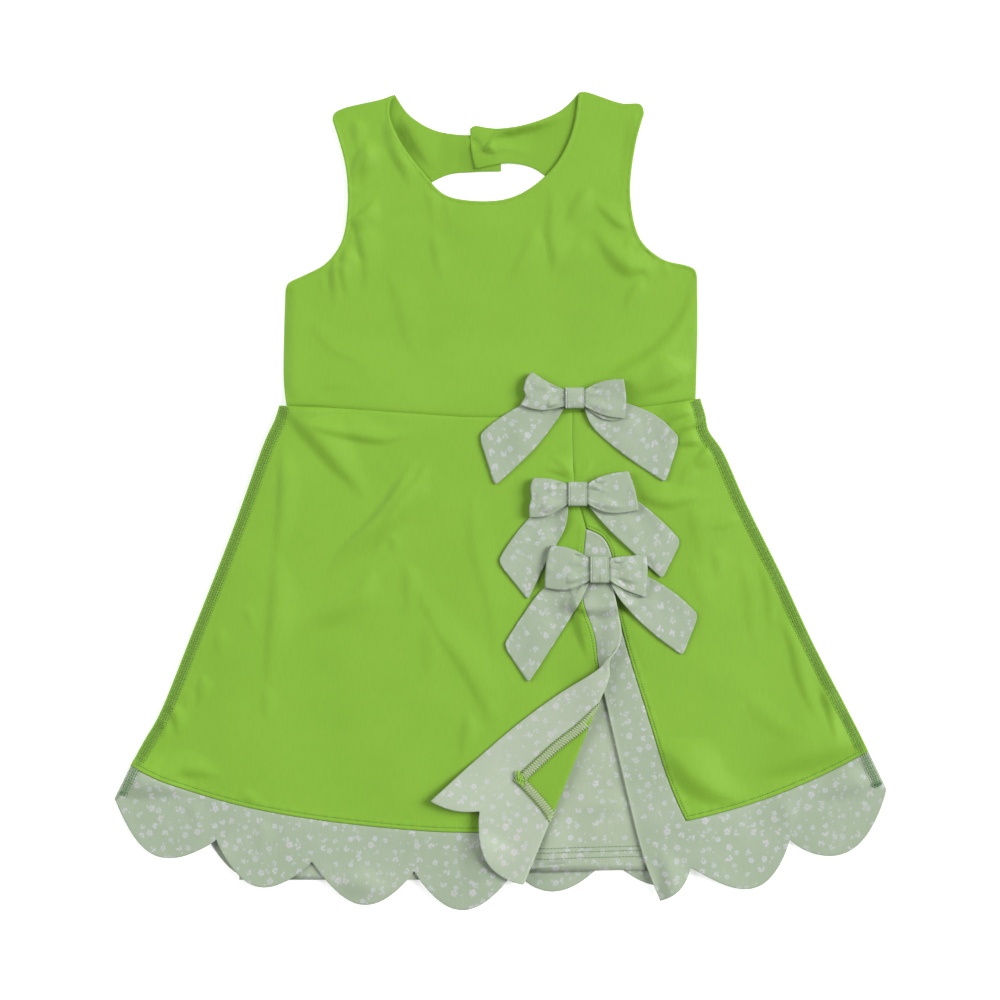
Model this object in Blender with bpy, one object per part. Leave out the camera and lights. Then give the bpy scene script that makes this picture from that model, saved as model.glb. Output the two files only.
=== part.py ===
# A child's sleeveless athletic dress, laid flat on its back.
#
# Every piece of cloth is a wall 1 mm thick. The back lies on the ground, the inner shorts lie on it,
# and the front lies over both and comes down onto the back outside the shorts. The front's lower left
# corner is turned over at the slit. Three bows are sewn on down the centre seam.
#
# Sizes are in millimetres here and become metres when a mesh is made. +X is to the right as the
# dress is seen from above, +Y is towards the shoulders, and Z = 0 is the ground.

import math

import bmesh
import bpy
import numpy as np
from mathutils import Vector
from mathutils.geometry import delaunay_2d_cdt

for old in list(bpy.data.objects):
    bpy.data.objects.remove(old, do_unlink=True)

MM = 0.001

# Cloth
WALL = 1.0
GAP = 0.3
LAYER = WALL + GAP
SEAM = GAP / 2

# How finely outlines and panels are divided
EDGE_STEP = 11.0
FINE_STEP = 6.0
STRAIGHT_STEP = 40.0
GRID_STEP = 14.0
BAND_STEP = 10.0
FLAT_STEP = 400.0
CURVE_STEPS = 16
ROW_RATIO = math.sqrt(3) / 2
CLEAR_OF_EDGE = 0.5
LINE_CLEAR_OF_EDGE = 1.0
SAME_POINT = 0.1
NEAR_CORNER = 2.0
NUDGE = 0.05
SHARP_ANGLE = math.radians(40)

# How the front lies over the shorts and over the slit's right band
SHORTS_MARGIN = 5.0
SHORTS_FALL = 20.0
LAP_MARGIN = 4.0
LAP_FALL = 26.0

# The turned corner: a point on its fold, the fold's direction, and the radius it is rolled to
FOLD_POINT = (70.7, -130.2)
FOLD_ANGLE = math.radians(-112.5)
FOLD_RADIUS = 1.8
FOLD_SETTLE = 25.0
FOLD_STEPS = 6
ROLL_FROM, ROLL_TO = -60.0, 180.0
ROLL_CLEAR = 4.0

# Scalloped hem
SCALLOP_POWER = 0.85
SCALLOP_STEPS = 9
SHALLOW_DROP = 10.0

# Nape: the lapped neck ends and the button under them
BUTTON_AT = (-10.9, 236.6)
BUTTON_RADIUS = 5.5
BUTTON_HEIGHT = 2.0
BUTTON_SIDES = 24
BUTTON_BEVEL = 0.4
NAPE_FALL = 15.0
NAPE_BOTTOM = 215.0
NAPE_HALF_WIDTH = 42.0
TAB_LIES_OVER = 3.0
TAB_FALL = 22.0
BACK_CENTRE = -7.5
CUTOUT_BOTTOM = 142.0

# Bows
KNOT_HALF_WIDTH = 6.3
KNOT_CHAMFER = 0.8
KNOT_CROWN = 0.6
BOW_SPREAD = 10.0
LOOP_END = 3.0
LOOP_LIFT = 0.25
LOOP_CROWN = 1.1
LOOP_TURN_STEPS = 3
STRIP_STEPS = 3
STRIPS_ACROSS = 3
KNOT_COLUMNS = 4

# Edges of the cloth, each a smooth line through its points (x, y)
WAIST = [(-149.8, 63.2), (-110.8, 61.5), (-61.6, 58.1), (-10.0, 55.3), (49.4, 58.9), (95.2, 62.2),
         (135.8, 68.0)]
BODICE_SIDE_RIGHT = [(132.7, 67.8), (134.0, 114.6), (133.8, 151.0)]
ARMHOLE_RIGHT = [(133.8, 151.0), (132.0, 155.8), (127.0, 158.2), (110.8, 162.4), (95.5, 175.7),
                 (88.6, 205.0), (91.6, 238.0), (97.8, 261.2)]
SHOULDER_RIGHT = [(97.8, 261.2), (95.6, 267.6), (82.6, 268.4), (57.5, 276.2), (53.4, 275.6)]
NECK_FRONT = [(53.4, 275.6), (48.7, 248.3), (38.1, 227.2), (20.6, 210.8), (3.0, 203.2), (-22.7, 202.6),
              (-38.5, 207.0), (-51.8, 221.1), (-69.0, 244.5), (-75.3, 262.2), (-72.6, 274.0)]
SHOULDER_LEFT = [(-72.6, 274.0), (-80.0, 271.2), (-106.5, 264.9), (-112.6, 261.4), (-113.6, 256.5)]
ARMHOLE_LEFT = [(-113.6, 256.5), (-104.6, 223.4), (-103.6, 196.2), (-107.8, 173.9), (-118.3, 159.6),
                (-134.7, 150.8), (-143.8, 146.0), (-145.9, 139.0)]
BODICE_SIDE_LEFT = [(-145.9, 139.0), (-147.0, 96.0), (-146.7, 78.0), (-144.8, 63.2)]
SKIRT_SIDE_RIGHT = [(250.0, -171.6), (242.6, -156.1), (213.0, -98.9), (190.4, -50.3), (166.0, -1.0),
                    (150.9, 32.6), (141.4, 46.6), (139.4, 56.5), (135.8, 68.0)]
SKIRT_SIDE_LEFT = [(-149.8, 63.2), (-152.3, 54.5), (-159.1, 39.8), (-182.9, -25.5), (-208.8, -90.8),
                   (-231.9, -147.9), (-241.4, -164.2), (-250.6, -181.2)]
NECK_BACK_LEFT = [(0.7, 246.8), (-27.9, 247.3), (-47.7, 251.3), (-61.2, 260.1), (-71.0, 273.8)]
CUTOUT_LEFT = [(-7.5, 142.0), (-49.0, 154.0), (-66.5, 184.0), (-56.0, 207.0), (-36.2, 219.6), (-18.5, 221.7),
               (0.7, 222.2)]
NECK_BACK_RIGHT = [(53.0, 275.2), (41.7, 264.1), (20.6, 254.4), (4.0, 251.0), (-9.0, 251.8), (-17.4, 253.0),
                   (-20.2, 251.0)]
TAB_END = [(-20.2, 251.0), (-19.4, 236.0), (-16.6, 223.4)]
CUTOUT_RIGHT = [(-16.6, 223.4), (-9.0, 225.3), (8.0, 227.6), (24.8, 223.2), (43.0, 205.0), (51.5, 184.0),
                (34.0, 154.0), (-7.5, 142.0)]
CENTRE_SEAM = [(49.4, 58.9), (50.6, 13.0), (54.0, -4.0), (58.3, -20.3)]
SLIT_SEAM_LEFT = [(58.3, -20.3), (56.2, -41.8), (56.0, -69.0), (63.2, -92.1), (69.4, -134.0), (71.6, -178.0),
                  (72.8, -216.6)]
SLIT_SEAM_RIGHT = [(58.9, -20.5), (69.8, -26.2), (75.6, -38.0), (77.5, -62.9), (83.6, -91.9), (97.9, -139.1),
                   (116.3, -196.2), (126.4, -218.5)]
SLIT_EDGE_LEFT = [(59.4, -21.0), (69.8, -26.6), (75.4, -38.0), (77.3, -62.9), (82.6, -91.0), (84.4, -120.0),
                  (93.0, -156.0), (98.4, -186.0), (101.2, -226.0), (101.7, -266.2)]
SLIT_EDGE_RIGHT = [(59.6, -24.0), (57.0, -42.0), (56.4, -69.0), (61.2, -96.2), (70.7, -134.0),
                   (86.8, -203.0), (97.2, -243.1), (108.6, -272.6)]
HEM_SEAM_LEFT = [(-250.6, -181.2), (-225.0, -193.4), (-168.0, -209.9), (-91.0, -221.8), (-15.0, -226.2),
                 (34.0, -221.0), (72.8, -216.6)]
HEM_SEAM_RIGHT = [(126.4, -218.5), (171.4, -206.9), (212.8, -190.7), (250.0, -171.6)]
HEM_SEAM_BACK = [(-250.6, -181.2), (-168.0, -205.0), (-91.0, -214.0), (0.0, -217.0), (91.0, -212.0),
                 (171.0, -198.0), (250.0, -171.6)]

# Shorts, half by half: the outer side, and the centre seam with the inseam below it
SHORTS_WAIST_CENTRE = (-7.0, 52.0)
CROTCH = (-20.0, -128.0)
SHORTS_SIDE_LEFT = [(-128.0, 59.0), (-152.0, -20.0), (-170.0, -120.0), (-177.0, -258.7)]
SHORTS_SIDE_RIGHT = [(126.5, -251.0), (132.0, -120.0), (124.0, -20.0), (113.0, 60.0)]
INSEAM_LEFT = [(-33.0, -258.7), (-29.0, -190.0), (-20.0, -128.0)]
INSEAM_RIGHT = [(-20.0, -128.0), (-16.0, -190.0), (-12.0, -254.5)]

# Scallops: x and y of each notch, how far the scallop after it hangs below its chord, and its lean,
# which is above 1 when its lowest point is past the middle
SCALLOPS_FRONT_LEFT = [
    (-261.6, -203.7, 25.8, 1.12),
    (-192.4, -231.3, 24.8, 1.05),
    (-127.5, -246.2, 26.2, 1.1),
    (-58.2, -252.3, 26.0, 1.0),
    (8.2, -254.0, 19.5, 1.0),
    (71.4, -247.5, 4.7, 1.0),
    (101.7, -266.2, 0.0, 1.0),
]
SCALLOPS_FRONT_RIGHT = [
    (108.6, -272.8, 4.7, 1.0),
    (129.1, -250.1, 25.6, 1.15),
    (196.7, -231.3, 26.0, 0.82),
    (262.3, -197.0, 0.0, 1.0),
]
SCALLOPS_BACK = [
    (-261.6, -203.7, 22.0, 1.1),
    (-198.0, -231.0, 22.0, 1.0),
    (-133.0, -243.0, 20.0, 1.0),
    (-62.0, -248.5, 20.0, 1.0),
    (7.5, -248.0, 20.5, 0.85),
    (72.0, -245.0, 19.0, 1.3),
    (131.5, -243.0, 20.0, 1.0),
    (198.0, -225.0, 20.0, 0.85),
    (262.3, -197.0, 0.0, 1.0),
]

# The largest folds, raised in the front: from (x, y), to (x, y), rise, half width
FOLDS = [
    (-161.8, -1.0, -179.0, -124.0, 1.6, 13.0),
    (-138.7, 50.0, -94.0, 12.0, 1.5, 10.0),
    (-70.0, 9.0, -101.0, -30.0, 1.1, 10.0),
    (126.0, 38.0, 122.0, -2.0, 1.5, 10.0),
    (193.0, -90.0, 229.0, -160.0, 1.6, 11.0),
    (110.0, -168.0, 128.0, -190.0, 1.2, 9.0),
    (-99.0, 172.0, -110.0, 140.0, 1.5, 9.0),
    (-78.0, 254.0, -64.0, 214.0, 1.3, 8.0),
    (-50.0, 204.0, -45.0, 163.0, 1.1, 9.0),
    (70.0, 168.0, 103.0, 152.0, 1.4, 9.0),
    (66.0, 96.0, 116.0, 112.0, 1.3, 10.0),
]

# Bows: the knot's centre and half height, then sections from left end to right end, each the
# upper point and the lower point of the strip, measured from the knot's centre
BOWS = [
    {
        "knot": (50.5, 68.0, 7.2),
        "loops": [
            (-29.4, 18.0, -37.6, -4.4),
            (-17.0, 10.0, -22.6, -8.2),
            (18.2, 8.5, 21.6, -10.5),
            (33.8, 12.0, 34.1, -14.0),
        ],
        "tails": [
            (-64.8, -25.5, -54.0, -59.5),
            (-50.5, -13.3, -27.0, -34.0),
            (-33.0, -3.5, -13.0, -16.0),
            (33.0, -2.6, 13.0, -20.4),
            (55.5, -12.0, 34.5, -39.0),
            (71.2, -27.5, 61.5, -57.0),
        ],
    },
    {
        "knot": (52.5, 3.1, 8.3),
        "loops": [
            (-31.8, 10.5, -33.1, -15.6),
            (-17.8, 10.2, -20.0, -14.3),
            (16.4, 11.4, 22.0, -11.6),
            (35.6, 15.6, 42.4, -10.9),
        ],
        "tails": [
            (-53.9, -46.0, -33.5, -72.0),
            (-45.5, -32.0, -20.5, -44.9),
            (-31.0, -14.5, -9.0, -24.0),
            (37.0, -3.0, 19.6, -22.4),
            (55.0, -16.5, 38.0, -40.0),
            (70.2, -32.0, 57.5, -57.5),
        ],
    },
    {
        "knot": (67.3, -47.9, 9.1),
        "loops": [
            (-34.7, 16.3, -38.1, -12.2),
            (-19.7, 14.0, -22.4, -13.6),
            (15.6, 7.5, 17.5, -13.3),
            (32.6, 9.5, 31.3, -19.0),
        ],
        "tails": [
            (-64.9, -51.7, -48.0, -77.0),
            (-53.5, -33.5, -32.5, -53.0),
            (-36.5, -11.8, -15.0, -25.0),
            (30.0, -3.4, 15.5, -22.5),
            (49.5, -15.0, 33.5, -41.0),
            (67.3, -30.9, 56.5, -58.5),
        ],
    },
]

GREEN = ((141, 189, 69), 0.55)
GREEN_BACK = ((128, 178, 62), 0.6)
PRINT = ((172, 188, 164), 0.6)
PRINT_SHORTS = ((177, 189, 169), 0.6)
BUTTON_GREEN = ((120, 170, 60), 0.3)


def smooth(t):
    """0 to 1 with soft ends."""
    t = np.clip(t, 0.0, 1.0)
    return t * t * (3.0 - 2.0 * t)


def even(line, step):
    """The same line, with evenly spaced points about a step apart."""
    line = np.asarray(line, float)
    along = np.concatenate([[0.0], np.cumsum(np.linalg.norm(np.diff(line, axis=0), axis=1))])
    count = max(1, round(along[-1] / step))
    at = np.linspace(0.0, along[-1], count + 1)
    return np.stack([np.interp(at, along, line[:, k]) for k in range(line.shape[1])], axis=1)


def through(rows, steps):
    """A smooth line through every row of a table, in so many steps from row to row."""
    rows = np.asarray(rows, float)
    chords = np.sqrt(np.maximum(np.linalg.norm(np.diff(rows, axis=0), axis=1), 1e-9))
    slopes = np.diff(rows, axis=0) / chords[:, None]
    tangents = np.empty_like(rows)
    tangents[1:-1] = (slopes[:-1] * chords[1:, None] + slopes[1:] * chords[:-1, None]) / (
        chords[:-1] + chords[1:]
    )[:, None]
    tangents[0] = 1.5 * slopes[0] - 0.5 * tangents[1] if len(rows) > 2 else slopes[0]
    tangents[-1] = 1.5 * slopes[-1] - 0.5 * tangents[-2] if len(rows) > 2 else slopes[-1]
    line = [rows[0]]
    for k, chord in enumerate(chords):
        for t in np.arange(1, steps + 1) / steps:
            line.append(
                (2 * t**3 - 3 * t**2 + 1) * rows[k]
                + (t**3 - 2 * t**2 + t) * chord * tangents[k]
                + (3 * t**2 - 2 * t**3) * rows[k + 1]
                + (t**3 - t**2) * chord * tangents[k + 1]
            )
    return np.array(line)


def edge(points, step=EDGE_STEP):
    """A smooth edge of cloth through its points."""
    return even(through(points, CURVE_STEPS), step)


def aside(line, by):
    """A line moved sideways, to its left when by is above 0."""
    run = np.gradient(line, axis=0)
    run /= np.linalg.norm(run, axis=1)[:, None]
    return line + by * np.stack([-run[:, 1], run[:, 0]], axis=1)


def stretch(line, low, high, step=EDGE_STEP):
    """The stretch of a line between two values of x."""
    at = np.linspace(low, high, max(2, round(abs(high - low) / step) + 1))
    return np.stack([at, np.interp(at, line[:, 0], line[:, 1])], axis=1)


def scallops(rows):
    """A scalloped hem from the first notch to the last."""
    line = [np.array(rows[0][:2])]
    for (x, y, drop, lean), (next_x, next_y, *_) in zip(rows, rows[1:]):
        start, chord = np.array([x, y]), np.array([next_x - x, next_y - y])
        down = np.array([chord[1], -chord[0]]) / np.linalg.norm(chord)
        steps = SCALLOP_STEPS if drop > SHALLOW_DROP else SCALLOP_STEPS // 2
        for k in range(1, steps + 1):
            closer_at_ends = (1 - math.cos(math.pi * k / steps)) / 2
            t = (closer_at_ends + k / steps) / 2
            hang = max(0.0, math.sin(math.pi * t**lean)) ** SCALLOP_POWER
            line.append(start + t * chord + drop * hang * down)
    return np.array(line)


def outline(*edges):
    """One closed outline from edges that follow each other, cut to where they cross."""
    edges = [np.array(line, float) for line in edges]
    for line, after in zip(edges, edges[1:] + edges[:1]):
        apart = np.linalg.norm(after[0] - line[-1])
        if SAME_POINT < apart < NEAR_CORNER:
            line[-1] = after[0] = crossing(line[-2], line[-1], after[0], after[1])
    points = []
    for point in np.vstack(edges):
        if not points or np.linalg.norm(point - points[-1]) > SAME_POINT:
            points.append(point)
    if np.linalg.norm(points[0] - points[-1]) < SAME_POINT:
        points.pop()
    return np.array(points)


def crossing(a, b, c, d):
    """Where the line through a and b meets the line through c and d."""
    run, other = b - a, d - c
    turned_by = run[0] * other[1] - run[1] * other[0]
    t = ((c - a)[0] * other[1] - (c - a)[1] * other[0]) / turned_by
    return a + t * run


def distance(points, line, closed=True):
    """How far each point is from a line."""
    ends = np.roll(line, -1, axis=0) if closed else line[1:]
    starts = line if closed else line[:-1]
    best = np.full(len(points), np.inf)
    for a, b in zip(starts, ends):
        run = b - a
        t = np.clip((points - a) @ run / max(run @ run, 1e-9), 0.0, 1.0)
        best = np.minimum(best, np.linalg.norm(points - a - t[:, None] * run, axis=1))
    return best


def inside(points, loop):
    """Which points lie inside a closed outline."""
    x, y = points[:, 0], points[:, 1]
    result = np.zeros(len(points), bool)
    for (ax, ay), (bx, by) in zip(loop, np.roll(loop, -1, axis=0)):
        if ay != by:
            result ^= ((ay > y) != (by > y)) & (x < (bx - ax) * (y - ay) / (by - ay) + ax)
    return result


def outside_by(x, y, loop):
    """How far outside a closed outline each point is, and 0 inside it."""
    points = np.stack([np.ravel(x), np.ravel(y)], axis=1)
    away = np.where(inside(points, loop), 0.0, distance(points, loop))
    return away.reshape(np.shape(x))


def triangles(loop, step, extra=None, keep_off=None):
    """Points and triangles that fill an outline, with a grid of points about a step apart inside it."""
    low, high = loop.min(axis=0), loop.max(axis=0)
    rows = np.arange(low[1], high[1], step * ROW_RATIO)
    columns = np.arange(low[0], high[0], step)
    grid = np.array([(x + step / 2 * (k % 2), y) for k, y in enumerate(rows) for x in columns])
    grid = grid[inside(grid, loop)]
    grid = grid[distance(grid, loop) > step * CLEAR_OF_EDGE]
    if keep_off is not None:
        grid = grid[keep_off(grid)]
    if extra is not None:
        extra = extra[inside(extra, loop)]
        grid = np.vstack([grid, extra[distance(extra, loop) > LINE_CLEAR_OF_EDGE]])
    given = [Vector(p) for p in loop] + [Vector(p) for p in grid]
    points, _, faces, *_ = delaunay_2d_cdt(given, [], [list(range(len(loop)))], 1, 1e-5)
    return np.array([tuple(p) for p in points]), [list(f) for f in faces]


def material(name, finish):
    """A plain cloth or plastic finish from its sRGB colour and roughness."""
    colour, roughness = finish
    linear = [((c / 255 + 0.055) / 1.055) ** 2.4 for c in colour]
    made = bpy.data.materials.new(name)
    made.use_nodes = True
    shader = made.node_tree.nodes["Principled BSDF"]
    shader.inputs["Base Color"].default_value = (*linear, 1.0)
    shader.inputs["Roughness"].default_value = roughness
    shader.inputs["Metallic"].default_value = 0.0
    return made


def add(name, vertices, faces, finish):
    """Makes the object from a closed mesh in millimetres."""
    mesh = bpy.data.meshes.new(name)
    mesh.from_pydata([tuple(v * MM) for v in vertices], [], faces)
    work = bmesh.new()
    work.from_mesh(mesh)
    bmesh.ops.recalc_face_normals(work, faces=work.faces)
    work.to_mesh(mesh)
    work.free()
    mesh.shade_smooth()
    mesh.set_sharp_from_angle(angle=SHARP_ANGLE)
    made = bpy.data.objects.new(name, mesh)
    made.data.materials.append(material(name, finish))
    bpy.context.collection.objects.link(made)
    return made


def face_normals(middle, faces):
    """The surface's direction at each point, from the faces round it."""
    normals = np.zeros_like(middle)
    for face in faces:
        across = np.cross(middle[face[1]] - middle[face[0]], middle[face[-1]] - middle[face[0]])
        normals[list(face)] += across
    return normals / np.linalg.norm(normals, axis=1)[:, None]


def placed_normals(points, place):
    """The surface's direction at each point, from the way it is laid."""
    run_x = place(points + (NUDGE, 0.0)) - place(points - (NUDGE, 0.0))
    run_y = place(points + (0.0, NUDGE)) - place(points - (0.0, NUDGE))
    normals = np.cross(run_x, run_y)
    return normals / np.linalg.norm(normals, axis=1)[:, None]


def cloth(name, middle, faces, finish, normals=None):
    """Thickens the middle surface of a piece of cloth to its wall, half to each side."""
    normals = face_normals(middle, faces) if normals is None else normals
    count = len(middle)
    vertices = np.vstack([middle + normals * WALL / 2, middle - normals * WALL / 2])
    solid = [list(face) for face in faces] + [[k + count for k in reversed(face)] for face in faces]
    runs = {(face[k - 1], face[k]) for face in faces for k in range(len(face))}
    for a, b in sorted(runs):
        if (b, a) not in runs:
            solid.append([b, a, a + count, b + count])
    return add(name, vertices, solid, finish)


def laid(height):
    """Places flat points at a height that depends on where they are."""
    return lambda points: np.column_stack([points, height(points[:, 0], points[:, 1])])


def panel(name, loop, place, finish, step=GRID_STEP, extra=None, keep_off=None):
    """A cut panel: its outline filled, laid in its place and thickened."""
    points, faces = triangles(loop, step, extra, keep_off)
    faces = [f if turn(points[f]) > 0 else f[::-1] for f in faces]
    return cloth(name, place(points), faces, finish, placed_normals(points, place))


def turn(corner):
    """Above 0 when a triangle's corners run anticlockwise."""
    (ax, ay), (bx, by), (cx, cy) = corner[:3]
    return (bx - ax) * (cy - ay) - (by - ay) * (cx - ax)


def strips(points, ring):
    """Faces of a grid of points, closed along its first axis if ring is true."""
    rows, columns = points.shape[:2]
    faces = []
    for i in range(rows if ring else rows - 1):
        for j in range(columns - 1):
            a, b = i * columns + j, (i + 1) % rows * columns + j
            faces.append([a, b, b + 1, a + 1])
    return points.reshape(-1, 3), faces


# The fold of the turned corner

fold_along = np.array([math.cos(FOLD_ANGLE), math.sin(FOLD_ANGLE)])
fold_across = np.array([-fold_along[1], fold_along[0]])
fold_start = np.array(FOLD_POINT) - fold_across * (FOLD_RADIUS + WALL / 2)
fold_length = math.pi * FOLD_RADIUS


def split_at_fold(line, closed=True):
    """Adds points to a line where it crosses the roll's lines."""
    levels = np.linspace(0.0, fold_length, FOLD_STEPS + 1)
    ends = np.roll(line, -1, axis=0) if closed else line[1:]
    result = []
    for a, b in zip(line, ends):
        start, end = (a - fold_start) @ fold_across, (b - fold_start) @ fold_across
        long = np.linalg.norm(b - a)
        result.append(a)
        crossed = [(v - start) / (end - start) for v in levels if min(start, end) < v < max(start, end)]
        result.extend(a + t * (b - a) for t in sorted(crossed) if GAP < t * long < long - GAP)
    return np.array(result if closed else result + [line[-1]])


# Edges that neighbours share

waist = edge(WAIST)
centre_seam = edge(CENTRE_SEAM)
slit_seam_left = edge(SLIT_SEAM_LEFT)
slit_seam_right = edge(SLIT_SEAM_RIGHT)
hem_seam_left = edge(HEM_SEAM_LEFT)
hem_seam_right = edge(HEM_SEAM_RIGHT)
hem_seam_back = edge(HEM_SEAM_BACK)
skirt_side_left = edge(SKIRT_SIDE_LEFT)
skirt_side_right = edge(SKIRT_SIDE_RIGHT)
left_of_slit = split_at_fold(outline(hem_seam_left, slit_seam_left[::-1]), closed=False)
right_of_slit = outline(slit_seam_right, hem_seam_right)
slit_edge_right = edge(SLIT_EDGE_RIGHT)

shorts_cover = outline(
    edge(SHORTS_SIDE_LEFT), [INSEAM_LEFT[0], INSEAM_RIGHT[-1]], edge(SHORTS_SIDE_RIGHT)
)
right_band = outline(
    aside(right_of_slit, -SEAM), scallops(SCALLOPS_FRONT_RIGHT)[::-1], slit_edge_right[::-1]
)[::-1]


# Heights of the cloth's middle surface


def ground(x, y):
    """Cloth that lies on the ground."""
    return np.full(np.shape(x), WALL / 2)


def folds(x, y):
    """The raised folds of the front."""
    rise = np.zeros(np.shape(x))
    for ax, ay, bx, by, high, wide in FOLDS:
        run = np.array([bx - ax, by - ay])
        long = np.linalg.norm(run)
        along = ((x - ax) * run[0] + (y - ay) * run[1]) / long
        away = ((x - ax) * run[1] - (y - ay) * run[0]) / long
        ends = smooth((along + wide) / (2 * wide)) * smooth((long - along + wide) / (2 * wide))
        rise += high * np.exp(-((away / wide) ** 2)) * ends
    return rise


def front(x, y):
    """The front: on the back at the sides, and over the shorts inside them."""
    over = 1.0 - smooth((outside_by(x, y, shorts_cover) - SHORTS_MARGIN) / SHORTS_FALL)
    return WALL / 2 + LAYER * (1 + 2 * over) + folds(x, y)


def front_left(x, y):
    """The front left of the slit, which laps over the right band."""
    lap = 1.0 - smooth((outside_by(x, y, right_band) - LAP_MARGIN) / LAP_FALL)
    return front(x, y) + LAYER * lap


def over_button(x, y):
    """How far the button lifts the cloth on it."""
    away = np.hypot(x - BUTTON_AT[0], y - BUTTON_AT[1])
    return (BUTTON_HEIGHT + GAP) * (1.0 - smooth((away - BUTTON_RADIUS - 1.0) / NAPE_FALL))


def back_left(x, y):
    """The back's left half: its neck end lies on the button."""
    return ground(x, y) + over_button(x, y)


def back_right(x, y):
    """The back's right half: its tab lies on the left neck end."""
    high = smooth((y - CUTOUT_BOTTOM - 2 * NAPE_FALL) / NAPE_FALL)
    lap = LAYER * (1.0 - smooth((x - TAB_LIES_OVER) / TAB_FALL)) * high
    return ground(x, y) + over_button(x, y) + lap


# The turned corner


def turned(points):
    """Places the left front's flat cut: flat, then rolled over the fold, then back over itself."""
    past = (points - fold_start) @ fold_across
    foot = points - past[:, None] * fold_across
    angle = np.clip(past, 0.0, fold_length) / FOLD_RADIUS
    after = np.maximum(past - fold_length, 0.0)
    reach = np.where(past < 0, past, FOLD_RADIUS * np.sin(angle) - after)
    flat = foot + reach[:, None] * fold_across
    under = np.where((past > 0)[:, None], foot - after[:, None] * fold_across, flat)
    lay = LAYER + (2 * FOLD_RADIUS - LAYER) * np.exp(-((after / FOLD_SETTLE) ** 2))
    lift = np.where(after > 0, lay, FOLD_RADIUS * (1 - np.cos(angle)))
    return np.column_stack([flat, front_left(under[:, 0], under[:, 1]) + lift])


def roll_lines(step):
    """Points along the roll, from its start to its end."""
    reach = np.arange(ROLL_FROM, ROLL_TO, step)
    levels = np.linspace(0.0, fold_length, FOLD_STEPS + 1)
    return np.array([fold_start + t * fold_along + v * fold_across for v in levels for t in reach])


def off_the_roll(points):
    """Which points are clear of the roll."""
    past = (points - fold_start) @ fold_across
    return (past < -ROLL_CLEAR) | (past > fold_length + ROLL_CLEAR)


# Bodice

bodice_right = [edge(BODICE_SIDE_RIGHT), edge(ARMHOLE_RIGHT), edge(SHOULDER_RIGHT, FINE_STEP)]
bodice_left = [edge(SHOULDER_LEFT, FINE_STEP), edge(ARMHOLE_LEFT), edge(BODICE_SIDE_LEFT)]
waist_left_x, waist_right_x = BODICE_SIDE_LEFT[-1][0], BODICE_SIDE_RIGHT[0][0]

panel(
    "bodice_front",
    outline(
        aside(stretch(waist, waist_left_x, waist_right_x), SEAM),
        *bodice_right,
        edge(NECK_FRONT),
        *bodice_left,
    ),
    laid(front),
    GREEN,
)


def on_the_nape(points):
    """Which points are near the lapped neck ends, where the back isn't flat."""
    return (points[:, 1] > NAPE_BOTTOM) & (abs(points[:, 0]) < NAPE_HALF_WIDTH)


def bodice_back():
    """The back in two halves, which are one cloth along the centre below the cut-out."""
    waist_at_centre = float(np.interp(BACK_CENTRE, waist[:, 0], waist[:, 1])) + SEAM
    centre = even([(BACK_CENTRE, CUTOUT_BOTTOM), (BACK_CENTRE, waist_at_centre)], EDGE_STEP)
    left = outline(
        aside(stretch(waist, waist_left_x, BACK_CENTRE), SEAM)[:-1],
        centre[::-1],
        edge(CUTOUT_LEFT, FINE_STEP)[1:],
        edge(NECK_BACK_LEFT, FINE_STEP),
        *bodice_left,
    )
    right = outline(
        centre,
        aside(stretch(waist, BACK_CENTRE, waist_right_x), SEAM)[1:],
        *bodice_right,
        edge(NECK_BACK_RIGHT, FINE_STEP),
        edge(TAB_END, FINE_STEP),
        edge(CUTOUT_RIGHT, FINE_STEP)[:-1],
    )
    points, faces, known = [], [], {}
    for loop, height in ((left, back_left), (right, back_right)):
        flat, cut = triangles(loop, FINE_STEP, keep_off=on_the_nape)
        placed = np.column_stack([flat, height(flat[:, 0], flat[:, 1])])
        index = []
        for point in placed:
            on_centre = abs(point[0] - BACK_CENTRE) < SAME_POINT and point[1] < CUTOUT_BOTTOM + SAME_POINT
            key = ("centre", round(float(point[1]), 2)) if on_centre else ("off centre", len(points))
            if key not in known:
                known[key] = len(points)
                points.append(point)
            index.append(known[key])
        for face in cut:
            face = face if turn(flat[face]) > 0 else face[::-1]
            faces.append([index[k] for k in face])
    return cloth("bodice_back", np.array(points), faces, GREEN_BACK)


bodice_back()


def neck_button():
    """The flat button under the nape."""
    mesh = bmesh.new()
    bmesh.ops.create_cone(
        mesh,
        cap_ends=True,
        segments=BUTTON_SIDES,
        radius1=BUTTON_RADIUS,
        radius2=BUTTON_RADIUS,
        depth=BUTTON_HEIGHT,
    )
    rims = [e for e in mesh.edges if abs(e.verts[0].co.z - e.verts[1].co.z) < 0.01]
    bmesh.ops.bevel(mesh, geom=rims, offset=BUTTON_BEVEL, segments=1, affect="EDGES")
    at = np.array([*BUTTON_AT, BUTTON_HEIGHT / 2])
    vertices = [np.array(v.co) + at for v in mesh.verts]
    faces = [[v.index for v in f.verts] for f in mesh.faces]
    mesh.free()
    return add("neck_button", vertices, faces, BUTTON_GREEN)


neck_button()


# Skirt

seam_x = CENTRE_SEAM[0][0]
skirt_left_x, skirt_right_x = WAIST[0][0], WAIST[-1][0]

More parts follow.
